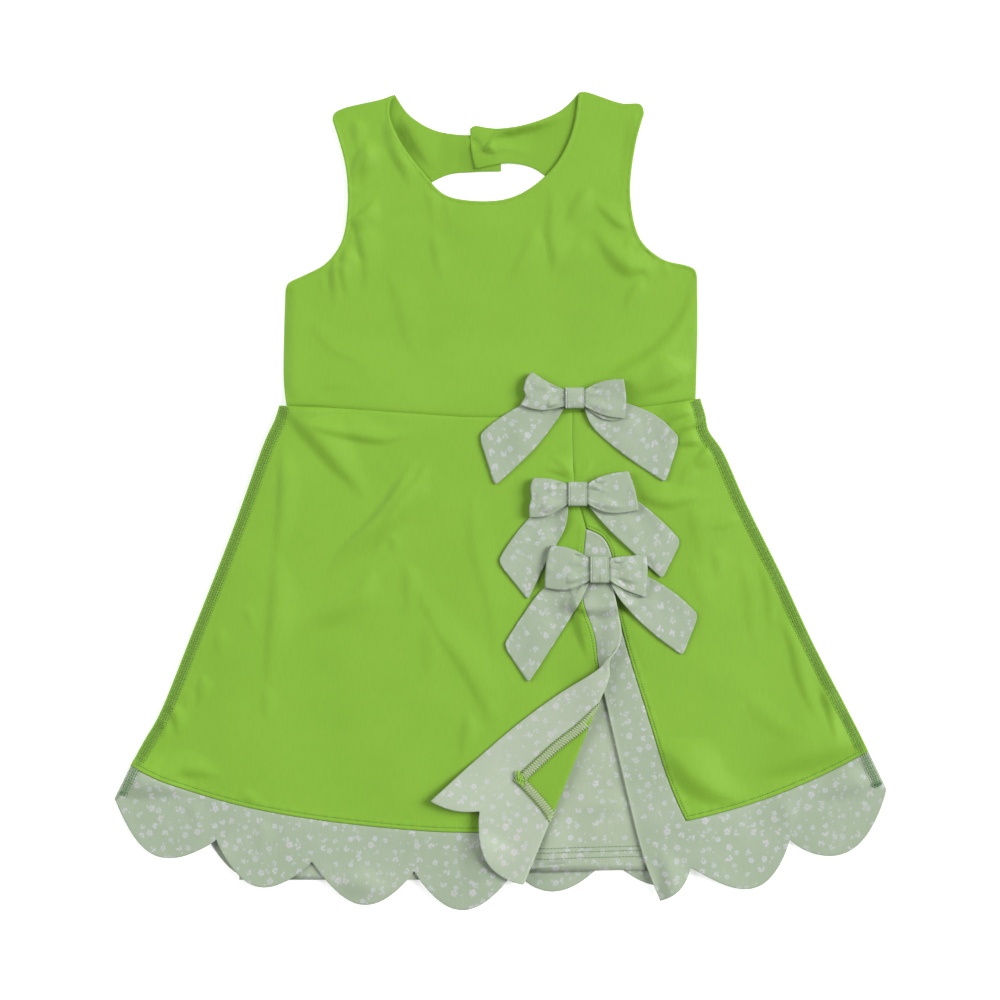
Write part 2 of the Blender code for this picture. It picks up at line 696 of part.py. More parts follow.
panel(
    "skirt_front_left",
    split_at_fold(
        outline(
            skirt_side_left,
            aside(left_of_slit, SEAM),
            aside(centre_seam, -SEAM)[::-1],
            aside(stretch(waist, skirt_left_x, seam_x), -SEAM)[::-1],
        )
    ),
    turned,
    GREEN,
    extra=roll_lines(EDGE_STEP),
    keep_off=off_the_roll,
)
panel(
    "skirt_front_right",
    outline(
        aside(centre_seam, SEAM),
        aside(right_of_slit, SEAM),
        skirt_side_right,
        aside(stretch(waist, seam_x, skirt_right_x), -SEAM)[::-1],
    ),
    laid(front),
    GREEN,
)
panel(
    "skirt_back",
    outline(
        skirt_side_left,
        aside(hem_seam_back, SEAM),
        skirt_side_right,
        aside(stretch(waist, skirt_left_x, skirt_right_x), -SEAM)[::-1],
    ),
    laid(ground),
    GREEN_BACK,
    step=FLAT_STEP,
)


# Print bands: the scalloped hem, and on the front the slit's edge in one with it

panel(
    "band_front_left",
    split_at_fold(
        outline(
            scallops(SCALLOPS_FRONT_LEFT),
            edge(SLIT_EDGE_LEFT)[::-1],
            aside(left_of_slit, -SEAM)[::-1],
        )
    ),
    turned,
    PRINT,
    step=BAND_STEP,
    extra=roll_lines(EDGE_STEP),
    keep_off=off_the_roll,
)
panel("band_front_right", right_band, laid(front), PRINT, step=BAND_STEP)
panel(
    "band_back",
    outline(scallops(SCALLOPS_BACK), aside(hem_seam_back, -SEAM)[::-1]),
    laid(ground),
    PRINT,
    step=FLAT_STEP,
)


# Shorts: two legs, each a front and a back of the same outline

centre_of_shorts = edge([CROTCH, SHORTS_WAIST_CENTRE], STRAIGHT_STEP)
inner_left = outline(edge(INSEAM_LEFT, STRAIGHT_STEP), centre_of_shorts) - (SEAM, 0.0)
inner_right = outline(centre_of_shorts[::-1], edge(INSEAM_RIGHT, STRAIGHT_STEP)) + (SEAM, 0.0)
legs = {
    "left": outline(edge(SHORTS_SIDE_LEFT, STRAIGHT_STEP), inner_left),
    "right": outline(inner_right, edge(SHORTS_SIDE_RIGHT, STRAIGHT_STEP)),
}
for face_of_shorts, layer in (("back", 1), ("front", 2)):
    for leg, loop in legs.items():
        panel(
            f"shorts_{face_of_shorts}_{leg}",
            loop,
            laid(lambda x, y, layer=layer: ground(x, y) + LAYER * layer),
            PRINT_SHORTS,
            step=FLAT_STEP,
        )


# Bows


def bow_floor(x, y):
    """The top of the front under a bow."""
    return front_left(x, y) + WALL / 2


def bow_sections(rows, knot):
    """Sections of a bow's strip from end to end, narrowed where they go through the knot."""
    x, y, half = knot
    in_knot = half - WALL - 2 * GAP
    left = (-KNOT_HALF_WIDTH - GAP, in_knot, -KNOT_HALF_WIDTH - GAP, -in_knot)
    right = (KNOT_HALF_WIDTH + GAP, in_knot, KNOT_HALF_WIDTH + GAP, -in_knot)
    middle = len(rows) // 2
    table = np.array(rows[:middle] + [left, right] + rows[middle:])
    halves = [through(table[: middle + 1], STRIP_STEPS), through(table[middle + 1 :], STRIP_STEPS)]
    line = np.vstack(halves)
    upper, lower = line[:, :2], line[:, 2:]
    share = np.linspace(0.0, 1.0, STRIPS_ACROSS + 1)[None, :, None]
    return upper[:, None] * (1 - share) + lower[:, None] * share + (x, y)


def down_from_knot(x, knot_x):
    """1 at the knot, 0 where the strip lies on the dress."""
    return 1.0 - smooth((abs(x - knot_x) - KNOT_HALF_WIDTH - GAP) / BOW_SPREAD)


def bow(number, rows):
    """One bow: its tails, its loops on them, and the knot round both."""
    name = f"bow_{number}"
    knot = rows["knot"]
    knot_x, knot_y, half = knot

    tails = bow_sections(rows["tails"], knot)
    x, y = tails[..., 0], tails[..., 1]
    z = bow_floor(x, y) + GAP + WALL / 2 + LAYER * down_from_knot(x, knot_x)
    cloth(f"{name}_tails", *strips(np.dstack([x, y, z]), ring=False), PRINT)

    flat = bow_sections(rows["loops"], knot)
    pull = LOOP_END / 2 + WALL / 2
    for end, before in ((0, 1), (-1, -2)):
        out = flat[end] - flat[before]
        flat[end] -= pull * out / np.linalg.norm(out, axis=1)[:, None]
    x, y = flat[..., 0], flat[..., 1]
    half_of = len(flat) // 2
    share = np.concatenate([np.linspace(1, 0, half_of), np.linspace(0, 1, half_of)])[:, None]
    on_tails = LAYER * (1 + down_from_knot(x, knot_x)) + LOOP_LIFT * (share > 0)
    low = bow_floor(x, y) + GAP + WALL / 2 + on_tails
    apart = LAYER + (LOOP_END - LAYER) * smooth(share) + LOOP_CROWN * np.sin(math.pi * share) ** 2
    under, over = np.dstack([x, y, low]), np.dstack([x, y, low + apart])
    ring = [over[k] for k in range(len(flat))]
    ring += loop_turn(over[-1], under[-1], flat[-1] - flat[-2])
    ring += [under[k] for k in reversed(range(len(flat)))]
    ring += loop_turn(under[0], over[0], flat[0] - flat[1])
    cloth(f"{name}_loops", *strips(np.array(ring), ring=True), PRINT)

    side, rise = half - WALL / 2, 2 * LAYER
    profile = [
        (-side, rise - KNOT_CHAMFER),
        (-side + KNOT_CHAMFER, rise),
        (-side / 3, rise + KNOT_CROWN),
        (side / 3, rise + KNOT_CROWN),
        (side - KNOT_CHAMFER, rise),
        (side, rise - KNOT_CHAMFER),
        (side, -rise + KNOT_CHAMFER),
        (side - KNOT_CHAMFER, -rise),
        (0.0, -rise),
        (-side + KNOT_CHAMFER, -rise),
        (-side, -rise + KNOT_CHAMFER),
    ]
    ring = []
    for along, up in profile:
        x = knot_x + np.linspace(-KNOT_HALF_WIDTH, KNOT_HALF_WIDTH, KNOT_COLUMNS)
        y = np.full(KNOT_COLUMNS, knot_y + along)
        ring.append(np.column_stack([x, y, bow_floor(x, y) + GAP + WALL / 2 + rise + up]))
    cloth(f"{name}_knot", *strips(np.array(ring), ring=True), PRINT)


def loop_turn(start, end, out):
    """The round end of a loop, between its layers."""
    out = np.column_stack([out / np.linalg.norm(out, axis=1)[:, None], np.zeros(len(out))])
    middle, arm = (start + end) / 2, (start - end) / 2
    radius = np.linalg.norm(arm, axis=1)[:, None]
    angles = [math.pi * k / (LOOP_TURN_STEPS + 1) for k in range(1, LOOP_TURN_STEPS + 1)]
    return [middle + arm * math.cos(a) + out * radius * math.sin(a) for a in angles]


for number, rows in enumerate(BOWS, 1):
    bow(number, rows)
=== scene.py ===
# The looks of a child's sleeveless athletic dress that lies flat on its back.
# Lengths are in millimetres and become metres when a mesh is made. Those of the shaders are in metres,
# because the flat cuts that they read are.

import math

import bmesh
import bpy
import numpy as np
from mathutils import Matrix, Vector
from mathutils.geometry import delaunay_2d_cdt


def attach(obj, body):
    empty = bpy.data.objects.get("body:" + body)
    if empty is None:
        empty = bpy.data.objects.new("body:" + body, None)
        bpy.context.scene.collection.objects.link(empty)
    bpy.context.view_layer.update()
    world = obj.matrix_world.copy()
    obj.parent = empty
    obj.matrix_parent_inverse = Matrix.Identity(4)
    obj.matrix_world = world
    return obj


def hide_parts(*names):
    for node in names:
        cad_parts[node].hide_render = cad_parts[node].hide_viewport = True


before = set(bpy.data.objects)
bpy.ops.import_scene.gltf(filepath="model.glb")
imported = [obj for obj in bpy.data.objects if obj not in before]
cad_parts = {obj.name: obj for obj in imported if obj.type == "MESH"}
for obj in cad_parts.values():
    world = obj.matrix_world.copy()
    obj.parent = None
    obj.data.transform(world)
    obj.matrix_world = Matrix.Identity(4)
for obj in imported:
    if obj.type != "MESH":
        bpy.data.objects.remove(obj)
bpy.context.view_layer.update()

# The back of the bodice: smooth green polyester knit with a faint sheen, cut in two halves that are
# one cloth below the open back. It lies face down, so its wrong side shows inside the neck. Its two
# neck ends lap over each other at the nape, and the upper one is pinched where it is buttoned.

# Cloth: its wall in the solids, its thickness here, and the gaps between layers and in seams
MM = 0.001
WALL = 1.0
CLOTH = 0.8
GAP = 0.3
LAYER = WALL + GAP
SEAM = 0.05

# How finely a cut is divided: along its edges, in rings beside them, and in the grid inside. The last
# four say how near rings, rows and grid may come, as shares of a ring's distance or a grid's step.
EDGE_STEP = 2.0
CURVE_STEPS = 16
BACK_STEP = 2.2
ROW_RATIO = math.sqrt(3) / 2
SAME_POINT = 0.1
NEAR_CORNER = 2.0
CUT_TOLERANCE = 1e-5
RIM = (0.45, 1.3)
RING_CLEAR = 0.85
GRID_CLEAR = 0.4
ROW_CLEAR = 0.25
ROW_APART = 0.5

# The cloth's share of its thickness right at an edge, and the swelling of an edge that is rolled
RIM_SHARE = 0.4
ROLLED_SWELL = 1.1
ROLLED_AT = 0.5
ROLLED_WIDTH = 0.7
ROLLED_SHOWS = 0.9

# Creases: which side is lit, how finely their lines are divided, how much of their length they take to
# rise and to fade, over how many times its height a high one falls, and how narrow their tips are
TOWARDS_LIGHT = (0.8, 0.6)
CREASE_STEPS = 6
CREASE_HEAD = 0.3
CREASE_TAIL = 0.6
CREASE_SPREAD = 5.0
CREASE_TIP = 0.35

# Edges of the bodice and its back, each a smooth line through its points (x, y)
WAIST = [(-149.8, 63.2), (-110.8, 61.5), (-61.6, 58.1), (-10.0, 55.3), (49.4, 58.9), (95.2, 62.2),
         (135.8, 68.0)]
BODICE_SIDE_RIGHT = [(132.7, 67.8), (134.0, 114.6), (133.8, 151.0)]
ARMHOLE_RIGHT = [(133.8, 151.0), (132.0, 155.8), (127.0, 158.2), (110.8, 162.4), (95.5, 175.7),
                 (88.6, 205.0), (91.6, 238.0), (97.8, 261.2)]
SHOULDER_RIGHT = [(97.8, 261.2), (95.6, 267.6), (82.6, 268.4), (57.5, 276.2), (53.4, 275.6)]
SHOULDER_LEFT = [(-72.6, 274.0), (-80.0, 271.2), (-106.5, 264.9), (-112.6, 261.4), (-113.6, 256.5)]
ARMHOLE_LEFT = [(-113.6, 256.5), (-104.6, 223.4), (-103.6, 196.2), (-107.8, 173.9), (-118.3, 159.6),
                (-134.7, 150.8), (-143.8, 146.0), (-145.9, 139.0)]
BODICE_SIDE_LEFT = [(-145.9, 139.0), (-147.0, 96.0), (-146.7, 78.0), (-144.8, 63.2)]
NECK_BACK_LEFT = [(0.7, 246.8), (-27.9, 247.3), (-47.7, 251.3), (-61.2, 260.1), (-71.0, 273.8)]
CUTOUT_LEFT = [(-7.5, 142.0), (-49.0, 154.0), (-66.5, 184.0), (-56.0, 207.0), (-36.2, 219.6),
               (-18.5, 221.7), (0.7, 222.2)]
NECK_BACK_RIGHT = [(53.0, 275.2), (41.7, 264.1), (20.6, 254.4), (4.0, 251.0), (-9.0, 251.8),
                   (-17.4, 253.0), (-20.2, 251.0)]
TAB_END = [(-20.2, 251.0), (-19.4, 236.0), (-16.6, 223.4)]
CUTOUT_RIGHT = [(-16.6, 223.4), (-9.0, 225.3), (8.0, 227.6), (24.8, 223.2), (43.0, 205.0),
                (51.5, 184.0), (34.0, 154.0), (-7.5, 142.0)]
BACK_CENTRE = -7.5
CUTOUT_BOTTOM = 142.0

# The button, how far the cloth over it takes to come down, and how the tab laps over the other end
BUTTON_AT = (-10.9, 236.6)
BUTTON_RADIUS = 5.5
BUTTON_HEIGHT = 2.0
BUTTON_CLEAR = 1.0
NAPE_FALL = 15.0
TAB_LIES_OVER = 3.0
TAB_FALL = 22.0

# Creases are rows of points along the shaded side, deepest near the first one, then the rise, and how
# far it takes to rise on the shaded side and to fall on the lit one. A rise below 0 is a trough.
NAPE_CREASES = [
    ([(-8.0, 240.5), (0.0, 246.0), (10.0, 248.4), (27.2, 253.0), (50.0, 261.0)], 5.4, 4.8, 8.0),
    ([(-3.4, 235.6), (13.6, 234.3), (27.2, 228.8)], 0.5, 3.0, 6.0),
    ([(-20.0, 247.5), (-14.6, 241.5), (-9.0, 236.0)], -1.9, 2.4, 5.0),
    ([(-10.2, 234.9), (-7.8, 239.0), (-3.4, 243.8)], 4.4, 2.6, 7.0),
    ([(-7.0, 236.5), (2.0, 236.2), (12.0, 238.5)], 0.8, 2.4, 5.0),
    ([(-70.0, 262.0), (-63.6, 248.0), (-56.0, 235.0), (-44.0, 222.0)], 4.2, 8.0, 24.0),
    ([(-36.0, 246.0), (-34.5, 236.0), (-36.0, 225.0)], 0.4, 5.0, 8.0),
]


def smooth(t):
    """0 to 1 with soft ends."""
    t = np.clip(t, 0.0, 1.0)
    return t * t * (3.0 - 2.0 * t)


def hump(away, width):
    """1 where away is 0, falling off softly over a width on both sides."""
    return np.exp(-((away / width) ** 2))


def unit(vectors):
    """The same directions, each of length 1."""
    return vectors / np.linalg.norm(vectors, axis=1)[:, None]


def running(lengths):
    """How far along each point is, from 0 at the first one."""
    return np.concatenate([[0.0], np.cumsum(lengths)])


def even(line, step):
    """The same line, with evenly spaced points about a step apart."""
    line = np.asarray(line, float)
    along = running(np.linalg.norm(np.diff(line, axis=0), axis=1))
    at = np.linspace(0.0, along[-1], max(1, round(along[-1] / step)) + 1)
    return np.stack([np.interp(at, along, line[:, k]) for k in range(line.shape[1])], axis=1)


def through(rows, steps):
    """A smooth line through every row of a table, in so many steps from row to row."""
    rows = np.asarray(rows, float)
    chords = np.sqrt(np.maximum(np.linalg.norm(np.diff(rows, axis=0), axis=1), 1e-9))
    slopes = np.diff(rows, axis=0) / chords[:, None]
    tangents = np.empty_like(rows)
    tangents[1:-1] = (slopes[:-1] * chords[1:, None] + slopes[1:] * chords[:-1, None]) / (
        chords[:-1] + chords[1:]
    )[:, None]
    tangents[0] = 1.5 * slopes[0] - 0.5 * tangents[1] if len(rows) > 2 else slopes[0]
    tangents[-1] = 1.5 * slopes[-1] - 0.5 * tangents[-2] if len(rows) > 2 else slopes[-1]
    line = [rows[0]]
    for k, chord in enumerate(chords):
        for t in np.arange(1, steps + 1) / steps:
            line.append(
                (2 * t**3 - 3 * t**2 + 1) * rows[k]
                + (t**3 - 2 * t**2 + t) * chord * tangents[k]
                + (3 * t**2 - 2 * t**3) * rows[k + 1]
                + (t**3 - t**2) * chord * tangents[k + 1]
            )
    return np.array(line)


def edge(points, step=EDGE_STEP):
    """A smooth edge of cloth through its points."""
    return even(through(points, CURVE_STEPS), step)


def aside(line, by):
    """A line moved sideways, to its left when by is above 0."""
    run = unit(np.gradient(line, axis=0))
    return line + by * np.stack([-run[:, 1], run[:, 0]], axis=1)


def stretch(line, low, high, step=EDGE_STEP):
    """The stretch of a line between two values of x."""
    at = np.linspace(low, high, max(2, round(abs(high - low) / step) + 1))
    return np.stack([at, np.interp(at, line[:, 0], line[:, 1])], axis=1)


def crossing(a, b, c, d):
    """Where the line through a and b meets the line through c and d."""
    run, other = b - a, d - c
    turned_by = run[0] * other[1] - run[1] * other[0]
    t = ((c - a)[0] * other[1] - (c - a)[1] * other[0]) / turned_by
    return a + t * run


def outline(*edges):
    """One closed outline from edges that follow each other, cut to where they cross."""
    edges = [np.array(line, float) for line in edges]
    for line, after in zip(edges, edges[1:] + edges[:1]):
        apart = np.linalg.norm(after[0] - line[-1])
        if SAME_POINT < apart < NEAR_CORNER:
            line[-1] = after[0] = crossing(line[-2], line[-1], after[0], after[1])
    points = []
    for point in np.vstack(edges):
        if not points or np.linalg.norm(point - points[-1]) > SAME_POINT:
            points.append(point)
    if np.linalg.norm(points[0] - points[-1]) < SAME_POINT:
        points.pop()
    return np.array(points)


def distance(points, line, closed=True):
    """How far each point is from a line."""
    ends = np.roll(line, -1, axis=0) if closed else line[1:]
    starts = line if closed else line[:-1]
    best = np.full(len(points), np.inf)
    for a, b in zip(starts, ends):
        run = b - a
        t = np.clip((points - a) @ run / max(run @ run, 1e-9), 0.0, 1.0)
        gap = points - a - t[:, None] * run
        best = np.minimum(best, gap[:, 0] ** 2 + gap[:, 1] ** 2)
    return np.sqrt(best)


def inside(points, loop):
    """Which points lie inside a closed outline."""
    x, y = points[:, 0], points[:, 1]
    result = np.zeros(len(points), bool)
    for (ax, ay), (bx, by) in zip(loop, np.roll(loop, -1, axis=0)):
        if ay != by:
            result ^= ((ay > y) != (by > y)) & (x < (bx - ax) * (y - ay) / (by - ay) + ax)
    return result


def near(points, line):
    """For each point: its distance from a line, above 0 on the line's left, and how far along the line
    its nearest point is, from 0 to 1."""
    starts, runs = line[:-1], np.diff(line, axis=0)
    lengths = np.linalg.norm(runs, axis=1)
    from_start = points[:, None] - starts
    t = np.clip((from_start * runs).sum(axis=2) / lengths**2, 0.0, 1.0)
    gaps = from_start - t[..., None] * runs
    away = np.linalg.norm(gaps, axis=2)
    nearest = away.argmin(axis=1)
    rows = np.arange(len(points))
    gap, run = gaps[rows, nearest], runs[nearest]
    side = np.sign(run[:, 0] * gap[:, 1] - run[:, 1] * gap[:, 0])
    before = running(lengths)[nearest]
    along = (before + t[rows, nearest] * lengths[nearest]) / lengths.sum()
    return away[rows, nearest] * side, along


def creases(points, table, spread=0.0):
    """The height that the creases of a table add: steep on the shaded side, gentle on the lit one, the
    more so the higher they are if asked, and narrower towards their tips."""
    total = np.zeros(len(points))
    for row, rise, steep, gentle in table:
        line = through(row, CREASE_STEPS)
        gentle = max(gentle, spread * abs(rise))
        reach = steep + gentle
        low, high = line.min(axis=0) - reach, line.max(axis=0) + reach
        close = np.flatnonzero(((points > low) & (points < high)).all(axis=1))
        if len(close) == 0:
            continue
        run = line[-1] - line[0]
        lit_side = 1.0 if -run[1] * TOWARDS_LIGHT[0] + run[0] * TOWARDS_LIGHT[1] > 0 else -1.0
        side, along = near(points[close], line)
        taper = smooth(along / CREASE_HEAD) * smooth((1.0 - along) / CREASE_TAIL)
        side = side * lit_side * np.sign(rise) / (CREASE_TIP + (1.0 - CREASE_TIP) * taper)
        up = smooth(side / steep + 0.5)
        down = 1.0 - smooth((side - steep / 2) / gentle)
        total[close] += rise * np.minimum(up, down) * taper
    return total


def ring(loop, by):
    """A closed outline moved inwards, without the points that corners would cross over."""
    ahead, behind = np.roll(loop, -1, axis=0), np.roll(loop, 1, axis=0)
    area = (loop[:, 0] * ahead[:, 1] - ahead[:, 0] * loop[:, 1]).sum()
    run = unit((ahead - behind) * np.sign(area))
    moved = loop + by * np.stack([-run[:, 1], run[:, 0]], axis=1)
    return moved[(distance(moved, loop) > by * RING_CLEAR) & inside(moved, loop)]


def fill(loop, step, rows=()):
    """Flat points and triangles that fill an outline: rings along its edge, rows of points where the
    cloth needs them, and a grid of triangles between."""
    low, high = loop.min(axis=0), loop.max(axis=0)
    levels = np.arange(low[1], high[1], step * ROW_RATIO)
    columns = np.arange(low[0], high[0], step)
    grid = np.array([(x + step / 2 * (k % 2), y) for k, y in enumerate(levels) for x in columns])
    grid = grid[inside(grid, loop)]
    grid = grid[distance(grid, loop) > RIM[-1] + step * GRID_CLEAR]
    placed = [loop] + [ring(loop, by) for by in RIM]
    for row in rows:
        row = row[inside(row, loop)]
        row = row[distance(row, loop) > RIM[-1] + step * ROW_CLEAR]
        if len(row) > 1:
            grid = grid[distance(grid, row, closed=False) > step * ROW_APART]
            placed.append(row)
    given = [Vector(p) for p in np.vstack(placed + [grid])]
    points, _, faces, *_ = delaunay_2d_cdt(given, [], [list(range(len(loop)))], 1, CUT_TOLERANCE)
    points = np.array([tuple(p) for p in points])
    faces = np.array([tuple(f) for f in faces if len(f) == 3])
    corners = points[faces]
    across, up = corners[:, 1] - corners[:, 0], corners[:, 2] - corners[:, 0]
    turned_over = across[:, 0] * up[:, 1] - across[:, 1] * up[:, 0] < 0
    faces[turned_over] = faces[turned_over][:, ::-1]
    return points, faces


def surface_normals(middle, faces):
    """The surface's direction at each point, from the faces round it."""
    across = np.cross(middle[faces[:, 1]] - middle[faces[:, 0]], middle[faces[:, -1]] - middle[faces[:, 0]])
    normals = np.zeros_like(middle)
    for k in range(faces.shape[1]):
        np.add.at(normals, faces[:, k], across)
    return normals / np.maximum(np.linalg.norm(normals, axis=1), 1e-12)[:, None]


def add(name, data):
    """Puts a mesh, a lamp or a camera into the scene."""
    made = bpy.data.objects.new(name, data)
    bpy.context.scene.collection.objects.link(made)
    return made


def mesh_object(name, vertices, faces, finish, flat=None):
    """A smooth mesh in metres from millimetres, with the flat cut as its UV map."""
    mesh = bpy.data.meshes.new(name)
    mesh.from_pydata((vertices * MM).tolist(), [], [tuple(f) for f in faces])
    if flat is not None:
        corner = np.zeros(len(mesh.loops), np.int32)
        mesh.loops.foreach_get("vertex_index", corner)
        cut = mesh.uv_layers.new(name="Cut")
        cut.data.foreach_set("uv", (flat[corner] * MM).astype(np.float32).ravel())
    mesh.shade_smooth()
    mesh.materials.append(finish)
    return add(name, mesh)


def shell(name, flat, middle, faces, finish, rim=1.0, raised=0.0, wrong=None, curled=0):
    """A thin closed sheet round a middle surface, thinner at its edge, raised on its right side, with a
    finish of its own on its wrong side if asked, and on faces of its right side that are curled over."""
    normals = surface_normals(middle, faces)
    half = CLOTH / 2 * rim
    top = middle + normals * np.broadcast_to(half + raised, len(middle))[:, None]
    bottom = middle - normals * np.broadcast_to(half, len(middle))[:, None]
    count = len(middle)
    sides = np.concatenate([faces[:, [k, (k + 1) % faces.shape[1]]] for k in range(faces.shape[1])])
    codes = sides[:, 0] * count + sides[:, 1]
    border = sides[~np.isin(codes, sides[:, 1] * count + sides[:, 0])]
    walls = np.column_stack([border[:, 1], border[:, 0], border[:, 0] + count, border[:, 1] + count])
    every = faces.tolist() + (faces[:, ::-1] + count).tolist() + walls.tolist()
    piece = mesh_object(name, np.vstack([top, bottom]), every, finish, np.vstack([flat, flat]))
    if wrong is not None:
        piece.data.materials.append(wrong)
        index = np.zeros(len(every), np.int32)
        index[len(faces) : 2 * len(faces)] = 1
        index[: len(faces)] = curled
        piece.data.polygons.foreach_set("material_index", index)
    return piece


def rounded(away):
    """How much of its thickness the cloth has near its edge."""
    return RIM_SHARE + (1 - RIM_SHARE) * np.sqrt(np.clip(away / RIM[0], 0.0, 1.0))


def declare(piece, size):
    """Attaches a piece of cloth to the root body and hides its part from model.glb."""
    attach(piece, "root")
    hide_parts(piece.name.replace("cloth_", ""))


def panel(
    name, loop, place, step, finish, rows=(), relief=None, size=None,
    rolled=None, wrong=None,
):
    """A cut panel, filled, laid in its place and given its thickness, and attached to the root body in place
    of its part. An edge that is rolled is thicker than the rest."""
    flat, faces = fill(loop, step, rows)
    raised = relief(flat) if relief else 0.0
    rim = rounded(distance(flat, loop))
    curled = 0
    if rolled is not None:
        rim = rim + ROLLED_SWELL * hump(distance(flat, rolled, closed=False) - ROLLED_AT, ROLLED_WIDTH)
        curled = distance(flat[faces].mean(axis=1), rolled, closed=False) < RIM[-1] * ROLLED_SHOWS
    piece = shell("cloth_" + name, flat, place(flat), faces, finish, rim, raised, wrong, curled)
    size = size or tuple(np.ptp(loop, axis=0))
    declare(piece, size)


def group(name, inputs, outputs):
    """An empty shader node group with its sockets, and its input and output nodes."""
    tree = bpy.data.node_groups.new(name, "ShaderNodeTree")
    for label, kind, value in inputs:
        socket = tree.interface.new_socket(label, in_out="INPUT", socket_type=kind)
        socket.default_value = value
    for label, kind in outputs:
        tree.interface.new_socket(label, in_out="OUTPUT", socket_type=kind)
    return tree, tree.nodes.new("NodeGroupInput"), tree.nodes.new("NodeGroupOutput")


def node(tree, kind, links=None, **settings):
    """A shader node with its settings, and with its inputs linked or set."""
    made = tree.nodes.new(kind)
    for key, value in settings.items():
        setattr(made, key, value)
    for key, value in (links or {}).items():
        if isinstance(value, bpy.types.NodeSocket):
            tree.links.new(value, made.inputs[key])
        else:
            made.inputs[key].default_value = value
    return made


def maths(tree, operation, *values):
    """The result of a Math node."""
    return node(tree, "ShaderNodeMath", dict(enumerate(values)), operation=operation).outputs[0]


def mix(tree, factor, a, b, blend="MIX"):
    """The result of mixing two colours."""
    made = node(tree, "ShaderNodeMix", {0: factor, 6: a, 7: b}, data_type="RGBA", blend_type=blend)
    return made.outputs[2]


def new_material(name):
    """A new material, with its node tree and its shader."""
    made = bpy.data.materials.new(name)
    made.use_nodes = True
    return made, made.node_tree, made.node_tree.nodes["Principled BSDF"]


def set_sockets(shader, values):
    """Sets a shader's own sockets, by their names."""
    for socket, value in values.items():
        shader.inputs[socket].default_value = value


def srgb(*colour):
    """A colour as it looks on a screen, 0 to 255, in the shader's own terms."""
    return (*[((c / 255 + 0.055) / 1.055) ** 2.4 for c in colour], 1.0)


def lit(*colour):
    """The colour of cloth that looks so under this scene's light."""
    return (*[c * CLOTH_LIGHT for c in srgb(*colour)[:3]], 1.0)


# The knit: its wales and courses, how its loops bend and show, the painted shade in the gaps between its
# loops, and the noise that mottles it. In each pair the first number is a factor and the second is added.
CLOTH_LIGHT = 0.8
WALE = 0.00062
COURSE = 0.00048
LOOP_BEND = 1.6
LOOP_SHARE = 0.35
LOOP_SHADE = (0.05, 0.965)
LOOP_HEIGHT = 0.00012
MOTTLE = 22.0
MOTTLE_TONE = (3.0, -1.0)
STREAKS = (900.0, 110.0, 1.0)


def knit_loops():
    """The fine loops of a weft knit, on the flat cut: their height, for bump and painted gap shade, and a
    mottle.
    """
    tree, given, result = group(
        "knit loops",
        [("Wale", "NodeSocketFloat", WALE), ("Course", "NodeSocketFloat", COURSE)],
        [("Height", "NodeSocketFloat"), ("Mottle", "NodeSocketFloat")],
    )
    cut = node(tree, "ShaderNodeUVMap", uv_map="Cut")
    split = node(tree, "ShaderNodeSeparateXYZ", {0: cut.outputs[0]})
    u = maths(tree, "MULTIPLY", maths(tree, "DIVIDE", split.outputs[0], given.outputs["Wale"]), 2 * math.pi)
    v = maths(tree, "MULTIPLY", maths(tree, "DIVIDE", split.outputs[1], given.outputs["Course"]), 2 * math.pi)
    ribs = maths(tree, "ABSOLUTE", maths(tree, "SINE", maths(tree, "MULTIPLY", u, 0.5)))
    bent = maths(tree, "ADD", v, maths(tree, "MULTIPLY", maths(tree, "COSINE", u), LOOP_BEND))
    loops = maths(tree, "MULTIPLY", maths(tree, "SINE", bent), LOOP_SHARE)
    tree.links.new(maths(tree, "ADD", ribs, loops), result.inputs["Height"])
    noise = node(tree, "ShaderNodeTexNoise", {"Vector": cut.outputs[0], "Scale": MOTTLE, "Detail": 3.0})
    long = node(tree, "ShaderNodeVectorMath", {0: cut.outputs[0], 1: STREAKS}, operation="MULTIPLY")
    streak = node(tree, "ShaderNodeTexNoise", {"Vector": long.outputs[0], "Scale": 1.0, "Detail": 2.0})
    both = maths(tree, "ADD", noise.outputs["Fac"], streak.outputs["Fac"])
    tree.links.new(maths(tree, "MULTIPLY", both, 0.5), result.inputs["Mottle"])


def cloth_material(name, colour, shade, knit_depth, sheen, roughness):
    """A knit cloth: two tones of its colour mottled softly, painted shade in its loops' gaps, fine loops in
    its bump, and sheen.
    """
    made, tree, shader = new_material(name)
    knit = node(tree, "ShaderNodeGroup", node_tree=bpy.data.node_groups["knit loops"])
    tone = maths(tree, "MULTIPLY_ADD", knit.outputs["Mottle"], *MOTTLE_TONE)
    made_of = mix(tree, tone, colour, shade)
    # Painted shade: the base colour is darkened where the loops sink, as if their gaps were shaded
    gaps = maths(tree, "MULTIPLY_ADD", knit.outputs["Height"], *LOOP_SHADE)
    depth = node(tree, "ShaderNodeCombineColor", {0: gaps, 1: gaps, 2: gaps})
    tree.links.new(mix(tree, 1.0, made_of, depth.outputs[0], "MULTIPLY"), shader.inputs["Base Color"])
    loops = {"Height": knit.outputs["Height"], "Strength": knit_depth, "Distance": LOOP_HEIGHT}
    tree.links.new(node(tree, "ShaderNodeBump", loops).outputs[0], shader.inputs["Normal"])
    gloss = {"Roughness": roughness, "Specular IOR Level": 0.3}
    set_sockets(shader, {**gloss, "Sheen Weight": sheen, "Sheen Roughness": 0.45, "Sheen Tint": colour})
    return made


knit_loops()
green = cloth_material(
    "green_knit", lit(145, 197, 60), lit(137, 190, 54), knit_depth=0.35, sheen=0.08, roughness=0.62
)
green_inside = cloth_material(
    "green_knit_inside", lit(143, 194, 59), lit(135, 187, 53), knit_depth=0.45, sheen=0.06, roughness=0.72
)


